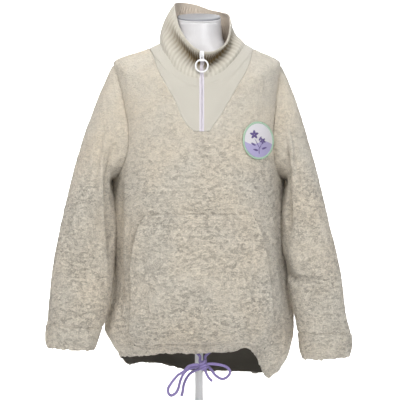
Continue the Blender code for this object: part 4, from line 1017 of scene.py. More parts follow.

# Back
# One panel of the same fleece, cut longer than the front, so that its reverse, painted dark as shade, shows below the
# front hem. It is sewn to the front down both sides, to the sleeves and, at the top, to the collar.

BACK_CREASES = (
    (-0.110, 0.56, -0.060, 0.40, 0.0130, -0.0034),
    (0.115, 0.58, 0.050, 0.43, 0.0140, -0.0036),
    (-0.150, 0.40, -0.135, 0.14, 0.0110, -0.0042),
    (0.152, 0.42, 0.140, 0.12, 0.0110, -0.0040),
    (-0.050, 0.36, -0.072, 0.10, 0.0150, 0.0030),
    (0.060, 0.34, 0.070, 0.12, 0.0150, 0.0028),
    (-0.090, 0.30, 0.000, 0.27, 0.0130, -0.0018),
    (0.010, 0.24, 0.100, 0.27, 0.0120, -0.0018),
    (-0.020, 0.60, 0.040, 0.54, 0.0150, 0.0018),
    (-0.120, 0.09, -0.060, 0.06, 0.0110, 0.0024),
    (0.060, 0.06, 0.130, 0.09, 0.0110, 0.0024),
)
rows = hem_rows(0.0, 1.0, 205)
_, _, back_left, back_right = armhole(rows)
first = 180 - back_right[:, None]
last = 180 + back_left[:, None]
theta = first + (last - first) * np.linspace(0, 1, 150)[None, :]
surface = body(theta, rows[:, None])
across = lengths_from(surface, 1)
along = lengths_from(surface, 0)
seams = (across, across[:, -1:] - across, along[-1:] - along)
back_grid = fleece_on_body(theta, rows[:, None], BACK_CREASES, 29, seams, 180.0)
fleece_piece("back_fleece", "back", back_grid)

# Sleeves
# Two long tubes of the same fleece with one seam under the arm. They hang empty, so they fold flat over themselves
# in long troughs, and each ends in a deep turned hem with a line of stitches.

SLEEVE_NAMES = "outer_x outer_z inner_x inner_z centre_y half_depth armhole_share"
SLEEVES = {
    "sleeve_left": columns(
        SLEEVE_NAMES,
        (
            (0.1880, 0.800, 0.1790, 0.5450, -0.008, 0.075, 1.00),
            (0.1985, 0.780, 0.1860, 0.5435, -0.008, 0.078, 0.86),
            (0.2095, 0.755, 0.1925, 0.5380, -0.009, 0.080, 0.66),
            (0.2220, 0.725, 0.1930, 0.5260, -0.011, 0.080, 0.46),
            (0.2345, 0.690, 0.1895, 0.5080, -0.015, 0.078, 0.30),
            (0.2470, 0.655, 0.1860, 0.4880, -0.021, 0.074, 0.17),
            (0.2595, 0.613, 0.1835, 0.4620, -0.029, 0.070, 0.07),
            (0.2720, 0.568, 0.1825, 0.4320, -0.037, 0.065, 0.00),
            (0.2840, 0.517, 0.1825, 0.4000, -0.044, 0.060, 0.00),
            (0.2955, 0.467, 0.1825, 0.3680, -0.050, 0.056, 0.00),
            (0.3055, 0.418, 0.1830, 0.3370, -0.054, 0.053, 0.00),
            (0.3140, 0.372, 0.1850, 0.3100, -0.057, 0.050, 0.00),
            (0.3200, 0.325, 0.1890, 0.2820, -0.059, 0.048, 0.00),
            (0.3245, 0.280, 0.1950, 0.2550, -0.060, 0.046, 0.00),
            (0.3280, 0.241, 0.2040, 0.2320, -0.060, 0.045, 0.00),
            (0.3320, 0.228, 0.2085, 0.2200, -0.060, 0.047, 0.00),
            (0.3325, 0.200, 0.2160, 0.1970, -0.060, 0.047, 0.00),
            (0.3290, 0.184, 0.2235, 0.1780, -0.060, 0.044, 0.00),
        ),
    ),
    "sleeve_right": columns(
        SLEEVE_NAMES,
        (
            (0.1800, 0.798, 0.1755, 0.5450, -0.008, 0.075, 1.00),
            (0.1910, 0.776, 0.1825, 0.5435, -0.008, 0.078, 0.86),
            (0.2025, 0.748, 0.1890, 0.5380, -0.009, 0.080, 0.66),
            (0.2145, 0.715, 0.1900, 0.5260, -0.011, 0.080, 0.46),
            (0.2255, 0.680, 0.1870, 0.5080, -0.014, 0.078, 0.30),
            (0.2360, 0.642, 0.1835, 0.4880, -0.019, 0.074, 0.17),
            (0.2475, 0.600, 0.1810, 0.4620, -0.026, 0.070, 0.07),
            (0.2595, 0.553, 0.1810, 0.4320, -0.033, 0.066, 0.00),
            (0.2715, 0.502, 0.1825, 0.4020, -0.040, 0.061, 0.00),
            (0.2830, 0.450, 0.1850, 0.3720, -0.046, 0.057, 0.00),
            (0.2940, 0.405, 0.1880, 0.3430, -0.050, 0.054, 0.00),
            (0.3045, 0.357, 0.1915, 0.3160, -0.053, 0.051, 0.00),
            (0.3120, 0.308, 0.1975, 0.2850, -0.055, 0.049, 0.00),
            (0.3170, 0.262, 0.2055, 0.2520, -0.056, 0.047, 0.00),
            (0.3260, 0.222, 0.2110, 0.2220, -0.056, 0.045, 0.00),
            (0.3310, 0.209, 0.2130, 0.2080, -0.056, 0.047, 0.00),
            (0.3320, 0.186, 0.2150, 0.1830, -0.056, 0.047, 0.00),
            (0.3265, 0.163, 0.2215, 0.1580, -0.056, 0.044, 0.00),
        ),
    ),
}
FOLD_NAMES = "first_ring first_turn last_ring last_turn spread depth"
SLEEVE_FOLDS = {
    "sleeve_left": columns(
        FOLD_NAMES,
        (
            (2.5, 112, 7.5, 150, 17, -0.0130),
            (3.0, 70, 9.0, 118, 15, -0.0075),
            (3.5, 90, 8.5, 132, 14, 0.0060),
            (9.5, 60, 11.5, 110, 16, -0.0030),
            (3.0, 262, 9.0, 236, 18, -0.0090),
            (4.0, 300, 11.0, 280, 18, 0.0050),
        ),
    ),
    "sleeve_right": columns(
        FOLD_NAMES,
        (
            (3.0, 118, 7.5, 140, 17, -0.0110),
            (2.5, 84, 6.5, 112, 15, 0.0060),
            (6.0, 150, 10.0, 132, 16, 0.0050),
            (10.2, 172, 11.6, 84, 22, -0.0080),
            (3.0, 250, 8.5, 232, 18, -0.0090),
            (5.0, 296, 12.0, 276, 18, 0.0050),
        ),
    ),
}

# Finer creases, in degrees of turn and in rings: 0 is the outer edge, 90 the front, 180 the inner edge, 270 the back
SLEEVE_CREASES = {
    "sleeve_left": (
        (88, 2.6, 150, 9.0, 6.5, -0.0050),
        (76, 2.8, 136, 9.0, 7.0, 0.0040),
        (40, 4.6, 133, 9.0, 7.0, -0.0046),
        (120, 9.0, 95, 12.5, 8.0, -0.0026),
        (40, 9.0, 90, 11.5, 8.0, -0.0024),
        (30, 12.0, 110, 13.2, 7.0, -0.0016),
        (20, 5.5, 55, 7.0, 9.0, -0.0020),
        (180, 2.0, 180, 8.5, 12.0, 0.0080),
        (250, 2.5, 238, 9.0, 8.0, -0.0045),
        (300, 5.0, 282, 12.0, 9.0, 0.0035),
        (210, 9.5, 290, 11.2, 9.0, -0.0026),
    ),
    "sleeve_right": (
        (72, 2.3, 82, 5.2, 7.0, -0.0060),
        (82, 5.2, 112, 6.4, 7.0, -0.0050),
        (76, 4.9, 165, 2.8, 7.0, -0.0048),
        (100, 3.0, 122, 6.4, 7.0, 0.0036),
        (165, 10.6, 88, 11.6, 6.0, -0.0065),
        (86, 11.0, 40, 11.6, 7.0, -0.0026),
        (120, 5.5, 150, 7.5, 6.0, -0.0030),
        (60, 6.0, 90, 9.0, 9.0, -0.0022),
        (30, 12.6, 120, 13.4, 7.0, -0.0016),
        (180, 2.0, 180, 8.5, 12.0, 0.0075),
        (246, 2.5, 232, 9.0, 8.0, -0.0045),
        (298, 5.0, 280, 12.0, 9.0, 0.0035),
        (200, 10.0, 290, 11.8, 9.0, -0.0028),
    ),
}


def armhole_ring(side, turn):
    """One armhole's points and the body's normals there, at turns of 0 at its top and 180 under the arm.

    The turn grows with the length down the front edge and then up the back edge.
    """
    v = np.linspace(SHOULDER_TIP, UNDERARM, 90)
    front_left, front_right, back_left, back_right = armhole(v)
    front = -front_left if side < 0 else front_right
    back = back_left - 180 if side < 0 else 180 - back_right
    down = np.clip(turn / 180, 0, 1)
    up = np.clip((360 - turn) / 180, 0, 1)
    found = []
    at_front = lengths_from(body(front, v)[None], 1)[0]
    at_back = lengths_from(body(back, v)[None], 1)[0]
    for along_front, along_back in ((body(front, v), body(back, v)), (body_normal(front, v), body_normal(back, v))):
        ring = [
            np.where(
                turn <= 180,
                np.interp(down * at_front[-1], at_front, along_front[:, i]),
                np.interp(up * at_back[-1], at_back, along_back[:, i]),
            )
            for i in range(3)
        ]
        found.append(np.stack(ring, -1))
    return found


def tube_normals(points, side):
    """Normals of a tube's grid, out from its middle line."""
    around = np.roll(points, -1, axis=1) - np.roll(points, 1, axis=1)
    return side * unit(np.cross(around, np.gradient(points, axis=0)))


def sleeve_grid(name, side, seed):
    """A sleeve: slanted flattened rings from the armhole down, then folds as bell curves round a leaning line."""
    table = SLEEVES[name]
    count = len(table["outer_x"])
    number = np.concatenate([np.linspace(0, count - 1.35, 222), count - 1 - np.array([0.22, 0.13, 0.07, 0.025, 0])])
    turn = np.linspace(0, 360, 150, endpoint=False)
    rings = np.arange(count, dtype=float)
    at = {key: smooth(number, rings, values)[:, None] for key, values in table.items()}
    c = np.cos(np.radians(turn))[None, :]
    s = np.sin(np.radians(turn))[None, :]
    x = side * ((at["outer_x"] + at["inner_x"]) / 2 + (at["outer_x"] - at["inner_x"]) / 2 * c)
    z = (at["outer_z"] + at["inner_z"]) / 2 + (at["outer_z"] - at["inner_z"]) / 2 * c
    y = at["centre_y"] - at["half_depth"] * np.sign(s) * np.abs(s) ** 0.9
    points = np.stack([x, y, z], -1)
    seam_line, seam_way = armhole_ring(side, turn)
    points = points + (seam_line - points[0]) * at["armhole_share"][..., None]
    row = number[:, None]
    out = np.zeros(points.shape[:2])
    for first, first_turn, last, last_turn, spread, depth in zip(*SLEEVE_FOLDS[name].values()):
        middle = first_turn + (last_turn - first_turn) * np.clip((row - first) / (last - first), 0, 1)
        off = apart(turn[None, :], middle)
        out = out + depth * np.exp(-((off / spread) ** 2)) * window(row, first - 1.5, last + 1.5)
    out = out * np.clip(row / 1.0, 0, 1)
    points = points + tube_normals(points, side) * out[..., None]
    fine = np.zeros(points.shape[:2])
    for x0, y0, x1, y1, spread, depth in SLEEVE_CREASES[name]:
        fine = fine + creases(turn[None, :] / 10, row, ((x0 / 10, y0, x1 / 10, y1, spread / 10, depth),))
    way = tube_normals(points, side)
    shape = points + way * fine[..., None]
    along = lengths_from(points, 0)
    round_length = np.linalg.norm(np.roll(points, -1, axis=1) - points, axis=-1).sum(1)[:, None]
    across = turn[None, :] / 360 * round_length
    relief_and_painted_shade = curly_pile(across, along, seed, round_length)
    end = along[-1:] - along
    draw = rounded(end, FLEECE_WALL / 2)
    stitch = 0.0026 * np.exp(-(((row - (count - 3.45)) / 0.16) ** 2))
    at_seam = np.exp(-((along / 0.0040) ** 2))
    drop = PILE_DEPTH * (0.55 + 0.45 * np.clip(row / 9, 0, 1)) * (1 - relief_and_painted_shade) * (1 - at_seam) + draw + stitch
    outer = shape - way * drop[..., None] - seam_way[None] * (0.0030 * at_seam)[..., None]
    back_way = unit(way * (1 - at_seam)[..., None] + seam_way[None] * at_seam[..., None])
    tufts = turn[None, :] / 360 * 34 + 0 * along
    outer = outer + fringe(points, tufts, end, seed, 34)
    inner = shape - back_way * (FLEECE_WALL - draw)[..., None]
    flat = np.stack([across, along], -1)
    grids = (outer[::-1], inner[::-1], relief_and_painted_shade[::-1], flat[::-1])
    if side < 0:
        return tuple(part[:, ::-1] for part in grids)
    return grids


for name, side, seed in (("sleeve_left", -1, 41), ("sleeve_right", 1, 53)):
    grid = sleeve_grid(name, side, seed)
    fleece_piece(f"{name}_fleece", name, grid, closed=True)

# Pocket
# A kangaroo pocket of one fleece panel, sewn along its top and into the hem's casing, and open at both sides. The
# openings' turned edges show as two soft upright ridges, and the pile grows over the stitches.

POCKET = columns(
    "v left_angle right_angle middle left_mouth right_mouth",
    (
        (0.045, 42, 42, 0.000, 0.000, 0.000),
        (0.075, 42, 42, 0.006, 0.000, 0.000),
        (0.110, 42, 42, 0.010, 0.000, 0.004),
        (0.170, 42, 43, 0.013, 0.003, 0.014),
        (0.240, 43, 44, 0.014, 0.014, 0.017),
        (0.310, 43, 43, 0.013, 0.018, 0.018),
        (0.380, 41, 41, 0.011, 0.017, 0.017),
        (0.430, 39, 39, 0.006, 0.012, 0.012),
        (0.480, 35, 36, 0.000, 0.000, 0.000),
    ),
)
LAID_ON = 0.0009
POCKET_CREASES = (
    (-0.094, 0.24, -0.098, 0.03, 0.0028, 0.0022),
    (-0.101, 0.24, -0.105, 0.03, 0.0030, -0.0018),
    (0.102, 0.25, 0.104, 0.05, 0.0028, 0.0022),
    (0.109, 0.25, 0.111, 0.05, 0.0030, -0.0018),
    (-0.060, 0.200, -0.048, 0.090, 0.0110, -0.0026),
    (0.045, 0.215, 0.066, 0.110, 0.0120, -0.0024),
    (-0.020, 0.150, 0.030, 0.110, 0.0130, 0.0020),
    (-0.080, 0.070, -0.020, 0.045, 0.0100, 0.0022),
    (0.020, 0.050, 0.080, 0.080, 0.0100, -0.0018),
    (-0.120, 0.090, -0.085, 0.060, 0.0080, -0.0030),
    (-0.010, 0.226, 0.060, 0.220, 0.0080, -0.0012),
)


def pocket_grid():
    """The pocket: the body's surface moved out by the table's stand-off, more at the open sides than at the middle."""
    v = np.linspace(0.045, 0.480, 108)[:, None]
    at = {name: smooth(v, POCKET["v"], values) for name, values in POCKET.items()}
    share = np.concatenate([[-1, -0.995, -0.985, -0.97], np.linspace(-0.95, 0.95, 100), [0.97, 0.985, 0.995, 1]])
    share = share[None, :]
    theta = share * np.where(share < 0, at["left_angle"], at["right_angle"])
    surface = body(theta, v)
    way = body_normal(theta, v)
    mouth = np.where(share < 0, at["left_mouth"], at["right_mouth"])
    off = LAID_ON + at["middle"] * (1 - share**4) + mouth * share**4
    across = lengths_at(theta, v)
    along = lengths_from(surface, 0)
    relief_and_painted_shade = curly_pile(across, along + 0.07, 67)
    fold = creases(across, along, POCKET_CREASES)
    from_left = lengths_from(surface, 1)
    edge = rounded(np.minimum(from_left, from_left[:, -1:] - from_left), 0.0025)
    top = along[-1:] - along
    stitched = 0.0034 * np.exp(-((top / 0.0030) ** 2)) + 0.0020 * np.exp(-(((top - 0.010) / 0.0028) ** 2))
    sewn = 0.0030 * np.exp(-((along / 0.006) ** 2))
    drop = PILE_DEPTH * (1 - relief_and_painted_shade) + edge + stitched + sewn - fold
    outer = surface + way * (off + FLEECE_WALL - drop)[..., None]
    inner = surface + way * (off + edge * 0.9)[..., None]
    return outer, inner, relief_and_painted_shade, np.stack([across, along], -1)


fleece_piece("pocket_fleece", "pocket", pocket_grid())

# Patch
# A round embroidered patch, stitched on through its thick pale green border. Its field is off-white twill above and
# lilac satin stitch below, under a generic sprig of flowers and leaves in violet thread.

PATCH = {"x": 0.1255, "z": 0.6265, "half_width": 0.0335, "half_height": 0.0405, "wall": 0.0020}


def on_front(x, z):
    """Angle and height of the front's point that is seen at x, z from the front, by repeated small corrections."""
    v = np.full(np.shape(x), 0.75)
    theta = np.full(np.shape(x), 40.0)
    for _ in range(40):
        point = body(theta, v)
        slope_x = (body(theta + 0.5, v)[..., 0] - point[..., 0]) / 0.5
        slope_z = (body(theta, v + 0.01)[..., 2] - point[..., 2]) / 0.01
        theta = np.clip(theta + 0.7 * (x - point[..., 0]) / np.maximum(slope_x, 5e-4), -85, 85)
        v = np.clip(v + 0.7 * (z - point[..., 2]) / slope_z, 0, 0.98)
    return theta, v


def on_patch(u, w, rise):
    """Points over the patch, at shares u across and w up of its half sizes and at a rise over the fleece."""
    theta, v = on_front(PATCH["x"] + PATCH["half_width"] * u, PATCH["z"] + PATCH["half_height"] * w)
    return body(theta, v) + body_normal(theta, v) * np.asarray(rise)[..., None]


def patch_disc():
    """The patch in rings from its middle out: a flat field, then a rounded border 3.4 mm wide, then its underside."""
    reach = np.array([0.0, 0.2, 0.4, 0.6, 0.75, 0.86, 0.895, 0.91, 0.925, 0.94, 0.955, 0.97, 0.985, 0.995, 1.0, 1.0, 0.97, 0.5, 0.0])
    bulge = np.sqrt(np.clip(1 - ((reach - 0.95) / 0.05) ** 2, 0, 1))
    rise = LAID_ON + PATCH["wall"] * 0.75 + 0.0012 * bulge
    rise[-5:] = LAID_ON + np.array([0.0014, 0.0008, 0.0002, 0.0, 0.0])
    turn = np.linspace(0, 2 * math.pi, 360, endpoint=False)
    u = reach[:, None] * np.cos(turn)
    w = reach[:, None] * np.sin(turn)
    thread = 0.00022 * np.cos(turn * 110) * bulge[:, None]
    thread[-5:] = 0
    points = on_patch(u, w, rise[:, None] + thread)
    return points, np.stack([u, w], -1)


points, shares = patch_disc()
patch_piece = make("patch_twill", points, grid_quads(19, 360, closed=True)[:, ::-1])
layer = patch_piece.data.uv_layers.new(name="share")
layer.data.foreach_set("uv", shares.reshape(-1, 2)[grid_quads(19, 360, closed=True)[:, ::-1].ravel()].ravel())
weld(patch_piece)
embroidery, tree, shader = finish("embroidery", 0.55, Sheen_Weight=0.25, Sheen_Roughness=0.35)
where = node(tree, "ShaderNodeUVMap", uv_map="share").outputs[0]
parts = node(tree, "ShaderNodeSeparateXYZ", {0: where})
u, w = parts.outputs[0], parts.outputs[1]
reach = node(tree, "ShaderNodeVectorMath", {0: where}, operation="LENGTH").outputs["Value"]
rim = math_node(tree, "GREATER_THAN", reach, 0.895)
swell = math_node(tree, "MULTIPLY", math_node(tree, "SINE", math_node(tree, "MULTIPLY", u, 4.2)), 0.09)
below = math_node(tree, "LESS_THAN", math_node(tree, "SUBTRACT", w, swell), -0.12)
diagonal = math_node(tree, "MULTIPLY", math_node(tree, "ADD", u, w), 150.0)
satin = math_node(tree, "SINE", math_node(tree, "ADD", math_node(tree, "MULTIPLY", u, 190.0), math_node(tree, "MULTIPLY", w, 30.0)))
twill = blend_colour(tree, math_node(tree, "SINE", diagonal, clamp=True), (0.62, 0.60, 0.63), (0.70, 0.67, 0.70))
lilac = blend_colour(tree, math_node(tree, "MULTIPLY_ADD", satin, 0.5, 0.5), (0.33, 0.29, 0.50), (0.44, 0.40, 0.60))
field = blend_colour(tree, below, twill, lilac)
field = blend_colour(tree, rim, field, (0.36, 0.52, 0.38))
tree.links.new(field, shader.inputs["Base Color"])
bump = node(tree, "ShaderNodeBump", {"Height": satin, "Strength": 0.25, "Distance": 0.0003})
tree.links.new(bump.outputs[0], shader.inputs["Normal"])
patch_piece.data.materials.append(embroidery)
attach(patch_piece, "garment")
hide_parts("patch")


def stitched_shapes(rows):
    """Padded satin-stitch shapes on the patch, each a lens: x, y, half length, half width, and its turn in degrees."""
    along = np.linspace(-1, 1, 13)[None, :, None]
    across = np.linspace(-1, 1, 9)[None, None, :]
    table = np.array(rows, float)[:, :, None, None]
    x, y, long, wide, turn = (table[:, i] for i in range(5))
    width = wide * np.sqrt(np.clip(1 - along**2, 0.0, 1)) * (1 - 0.25 * along)
    c = np.cos(np.radians(turn))
    s = np.sin(np.radians(turn))
    u = x + long * along * c - width * across * s
    w = y + (long * along * s + width * across * c) * PATCH["half_width"] / PATCH["half_height"]
    crown = (1 - across**2) * np.clip(1 - along**2, 0, 1)
    rise = LAID_ON + PATCH["wall"] * 0.75 + 0.0002 + 0.0008 * crown + 0 * u
    top = on_patch(u, w, rise)
    low = on_patch(u, w, rise - 0.0008 * crown - 0.0004)
    return top, low


petal_turns = np.arange(5) * 72 + 20
rows = [(-0.28 + 0.15 * math.cos(math.radians(a)), 0.30 + 0.13 * math.sin(math.radians(a)), 0.14, 0.078, a) for a in petal_turns]
rows += [(0.26 + 0.11 * math.cos(math.radians(a)), -0.02 + 0.095 * math.sin(math.radians(a)), 0.10, 0.058, a) for a in petal_turns + 30]
rows += [(-0.10, -0.16, 0.36, 0.020, 118), (0.12, -0.30, 0.27, 0.018, 62), (0.02, -0.56, 0.20, 0.022, 94)]
rows += [(-0.34, -0.20, 0.17, 0.062, 150), (0.10, 0.10, 0.16, 0.058, 60), (0.36, -0.40, 0.17, 0.060, 20), (-0.20, -0.50, 0.16, 0.060, 165)]
top, low = stitched_shapes(rows)
cells = grid_quads(13, 9)
count = len(rows)
each = 13 * 9
faces = [cells + i * each for i in range(count)] + [cells[:, ::-1] + (count + i) * each for i in range(count)]
motif = make("patch_sprig", np.concatenate([top.reshape(-1, 3), low.reshape(-1, 3)]), np.concatenate(faces))
weld(motif)
thread, tree, shader = finish("violet_thread", 0.45, Sheen_Weight=0.3, Sheen_Roughness=0.3)
spot = node(tree, "ShaderNodeTexCoord").outputs["Object"]
ply = node(tree, "ShaderNodeTexWave", {"Vector": spot, "Scale": 900.0, "Distortion": 1.5}, bands_direction="DIAGONAL").outputs[1]
tree.links.new(blend_colour(tree, ply, (0.075, 0.050, 0.165), (0.155, 0.115, 0.290)), shader.inputs["Base Color"])
bump = node(tree, "ShaderNodeBump", {"Height": ply, "Strength": 0.4, "Distance": 0.0003})
tree.links.new(bump.outputs[0], shader.inputs["Normal"])
motif.data.materials.append(thread)
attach(motif, "garment")

# Yoke
# Two halves of smooth cream jersey knit on both sides of the zip, let into the front's V. Fine wales run upright, and
# a paler line of cover stitching follows the V edge.

KNIT_WALL = 0.0030
KNIT_DROP = 0.0012
ZIP_X = 0.006
ZIP_HALF = 0.0045

stitch_group = bpy.data.node_groups.new("knit_stitches", "ShaderNodeTree")
for direction, kind, label in (
    ("INPUT", "NodeSocketVector", "Flat place"),
    ("INPUT", "NodeSocketFloat", "Wales"),
    ("INPUT", "NodeSocketFloat", "Courses"),
    ("OUTPUT", "NodeSocketFloat", "Height"),
):
    stitch_group.interface.new_socket(label, in_out=direction, socket_type=kind)
inlet = stitch_group.nodes.new("NodeGroupInput")
outlet = stitch_group.nodes.new("NodeGroupOutput")
parts = node(stitch_group, "ShaderNodeSeparateXYZ", {0: inlet.outputs["Flat place"]})
wale = math_node(stitch_group, "MULTIPLY", parts.outputs[0], inlet.outputs["Wales"])
course = math_node(stitch_group, "MULTIPLY", parts.outputs[1], inlet.outputs["Courses"])
half_wale = math_node(stitch_group, "PINGPONG", wale, 0.5)
slant = math_node(stitch_group, "ADD", course, math_node(stitch_group, "MULTIPLY", half_wale, 1.4))
loops = math_node(stitch_group, "SINE", math_node(stitch_group, "MULTIPLY", slant, 2 * math.pi))
ridge = math_node(stitch_group, "SINE", math_node(stitch_group, "MULTIPLY", half_wale, 2 * math.pi))
height = math_node(stitch_group, "ADD", ridge, math_node(stitch_group, "MULTIPLY", loops, 0.35))
stitch_group.links.new(height, outlet.inputs["Height"])


def knit(name, low, high, shade, wales, courses, strength):
    """A knit finish: its stitches from the flat lengths, with soft fuzz and painted shade: the yarn's colour darkens in
    the stitches' hollows and turns to the shade colour where the point attribute is low.
    """
    made, tree, shader = finish(name, 0.88, Sheen_Weight=0.3, Sheen_Roughness=0.5, Specular_IOR_Level=0.2)
    flat = node(tree, "ShaderNodeUVMap", uv_map="cut").outputs[0]
    spot = node(tree, "ShaderNodeTexCoord").outputs["Object"]
    stitches = node(tree, "ShaderNodeGroup", node_tree=stitch_group)
    tree.links.new(flat, stitches.inputs["Flat place"])
    stitches.inputs["Wales"].default_value = wales
    stitches.inputs["Courses"].default_value = courses
    height, mottle = curls(tree, spot, 0.0011)
    both = math_node(tree, "ADD", math_node(tree, "MULTIPLY", stitches.outputs["Height"], 0.5), height)
    unshaded_share = node(tree, "ShaderNodeAttribute", attribute_name="relief_and_painted_shade").outputs["Fac"]
    yarn = node(tree, "ShaderNodeMapRange", {0: both, 1: -0.6, 2: 0.9, 3: 0.0, 4: 1.0}, clamp=True).outputs[0]
    tone_with_painted_shade = blend_colour(tree, yarn, low, high)
    tree.links.new(blend_colour(tree, math_node(tree, "SUBTRACT", 1.0, unshaded_share, clamp=True), tone_with_painted_shade, shade), shader.inputs["Base Color"])
    bump = node(tree, "ShaderNodeBump", {"Height": both, "Strength": strength, "Distance": 0.0006})
    tree.links.new(bump.outputs[0], shader.inputs["Normal"])
    return made


jersey_knit = knit("yoke_knit", (0.500, 0.475, 0.415), (0.610, 0.580, 0.510), (0.42, 0.38, 0.31), 620.0, 760.0, 0.6)


def angle_at_x(x, v):
    """The front angle at which the ring v reaches x."""
    half = smooth(v, BODY["v"], BODY["left_half" if x < 0 else "right_half"])
    return math.copysign(1, x) * np.degrees(np.arcsin((abs(x) / half) ** (1 / SQUARENESS)))


def yoke_half(side, edge):
    """One half of the yoke: columns from its V edge, run 3 mm under the fleece, to the zip's tape."""
    v = np.linspace(V_BOTTOM, 1.0, 76)
    width = np.interp(v, FRONT_V, edge)
    width = np.where(v > V_TOP, 90, width)
    outside = side * np.minimum(width + 0.9, 90.0)
    inside = angle_at_x(ZIP_X + side * (ZIP_HALF - 0.0004), v)
    share = np.linspace(0, 1, 72)[None, :]
    theta = outside[:, None] + (inside - outside)[:, None] * share
    surface = body(theta, v[:, None])
    way = body_normal(theta, v[:, None])
    across = lengths_from(surface, 1)
    along = lengths_from(surface, 0)
    to_zip = across[:, -1:] - across
    line = 0.0005 * np.exp(-(((across - 0.0055) / 0.0010) ** 2)) + 0.0004 * np.exp(-(((across - 0.0080) / 0.0008) ** 2))
    hug = 0.0016 * np.exp(-((across / 0.0035) ** 2))
    ripple = 0.0009 * waves(across / 0.030, along / 0.045, 71 + side)
    turn_in = rounded(to_zip, KNIT_WALL / 2)
    drop = KNIT_DROP - line + hug - ripple * np.clip(to_zip / 0.01, 0, 1) + turn_in
    outer = surface - way * drop[..., None]
    inner = surface - way * (KNIT_DROP + KNIT_WALL + hug - turn_in)[..., None]
    # Painted shade: the value falls where the yoke runs under the fleece's edge, so the knit darkens there.
    relief_and_painted_shade = 0.9 + 0.1 * np.clip(line / 0.0004, 0, 1) - 0.25 * np.exp(-((across / 0.003) ** 2))
    grid = (outer, inner, relief_and_painted_shade, np.stack([across, along], -1))
    if side > 0:
        return tuple(part[:, ::-1] for part in grid)
    return grid


FRONT_V = np.concatenate([hem_rows(0.0, V_BOTTOM, 178)[:-1], np.linspace(V_BOTTOM, V_TOP, 46)])
for name, side, edge in (("yoke_left", -1, yoke_edges[0]), ("yoke_right", 1, yoke_edges[1])):
    piece = wall(f"{name}_knit", *yoke_half(side, edge))
    piece.data.materials.append(jersey_knit)
    piece.data.materials.append(jersey_knit)
    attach(piece, "garment")
    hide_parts(name)

# Collar
# A funnel collar of one layer of cream 1 by 1 rib, sewn round the neck and to the zip's ends. Its front slouches over
# itself in a deep fold below the rim, and its back stands up round the form's neck.

COLLAR_WALL = 0.0035
RIB_COUNT = 66
COLLAR = columns(
    "angle x y z bow crease",
    (
        (0, 0.006, -0.104, 0.8175, 0.000, 0.026),
        (25, 0.033, -0.098, 0.8190, 0.004, 0.030),
        (50, 0.058, -0.074, 0.8400, 0.008, 0.024),
        (75, 0.069, -0.035, 0.8780, 0.000, 0.012),
        (100, 0.069, 0.010, 0.9080, -0.006, 0.002),
        (130, 0.054, 0.046, 0.9200, 0.002, 0.000),
        (160, 0.026, 0.064, 0.9280, 0.004, 0.000),
        (190, -0.010, 0.067, 0.9400, 0.004, 0.000),
        (220, -0.042, 0.054, 0.9430, 0.006, 0.000),
        (250, -0.056, 0.022, 0.9360, 0.009, 0.000),
        (280, -0.052, -0.020, 0.9110, 0.012, 0.004),
        (305, -0.040, -0.058, 0.8700, 0.010, 0.014),
        (335, -0.018, -0.090, 0.8340, 0.004, 0.022),
    ),
)


def around(angle, angles, values):
    """A smooth closed curve through values given at angles in degrees."""
    xs = np.concatenate([angles[-3:] - 360, angles, angles[:3] + 360])
    ys = np.concatenate([values[-3:], values, values[:3]])
    angle = np.mod(angle, 360)
    i = np.clip(np.searchsorted(xs, angle, side="right") - 1, 1, len(xs) - 3)
    slope = np.zeros(len(xs))
    slope[1:-1] = (ys[2:] - ys[:-2]) / (xs[2:] - xs[:-2])
    step = xs[i + 1] - xs[i]
    t = (angle - xs[i]) / step
    value = ys[i] * (1 + 2 * t) * (1 - t) ** 2 + ys[i + 1] * t**2 * (3 - 2 * t)
    return value + step * t * (1 - t) * (slope[i] * (1 - t) - slope[i + 1] * t)


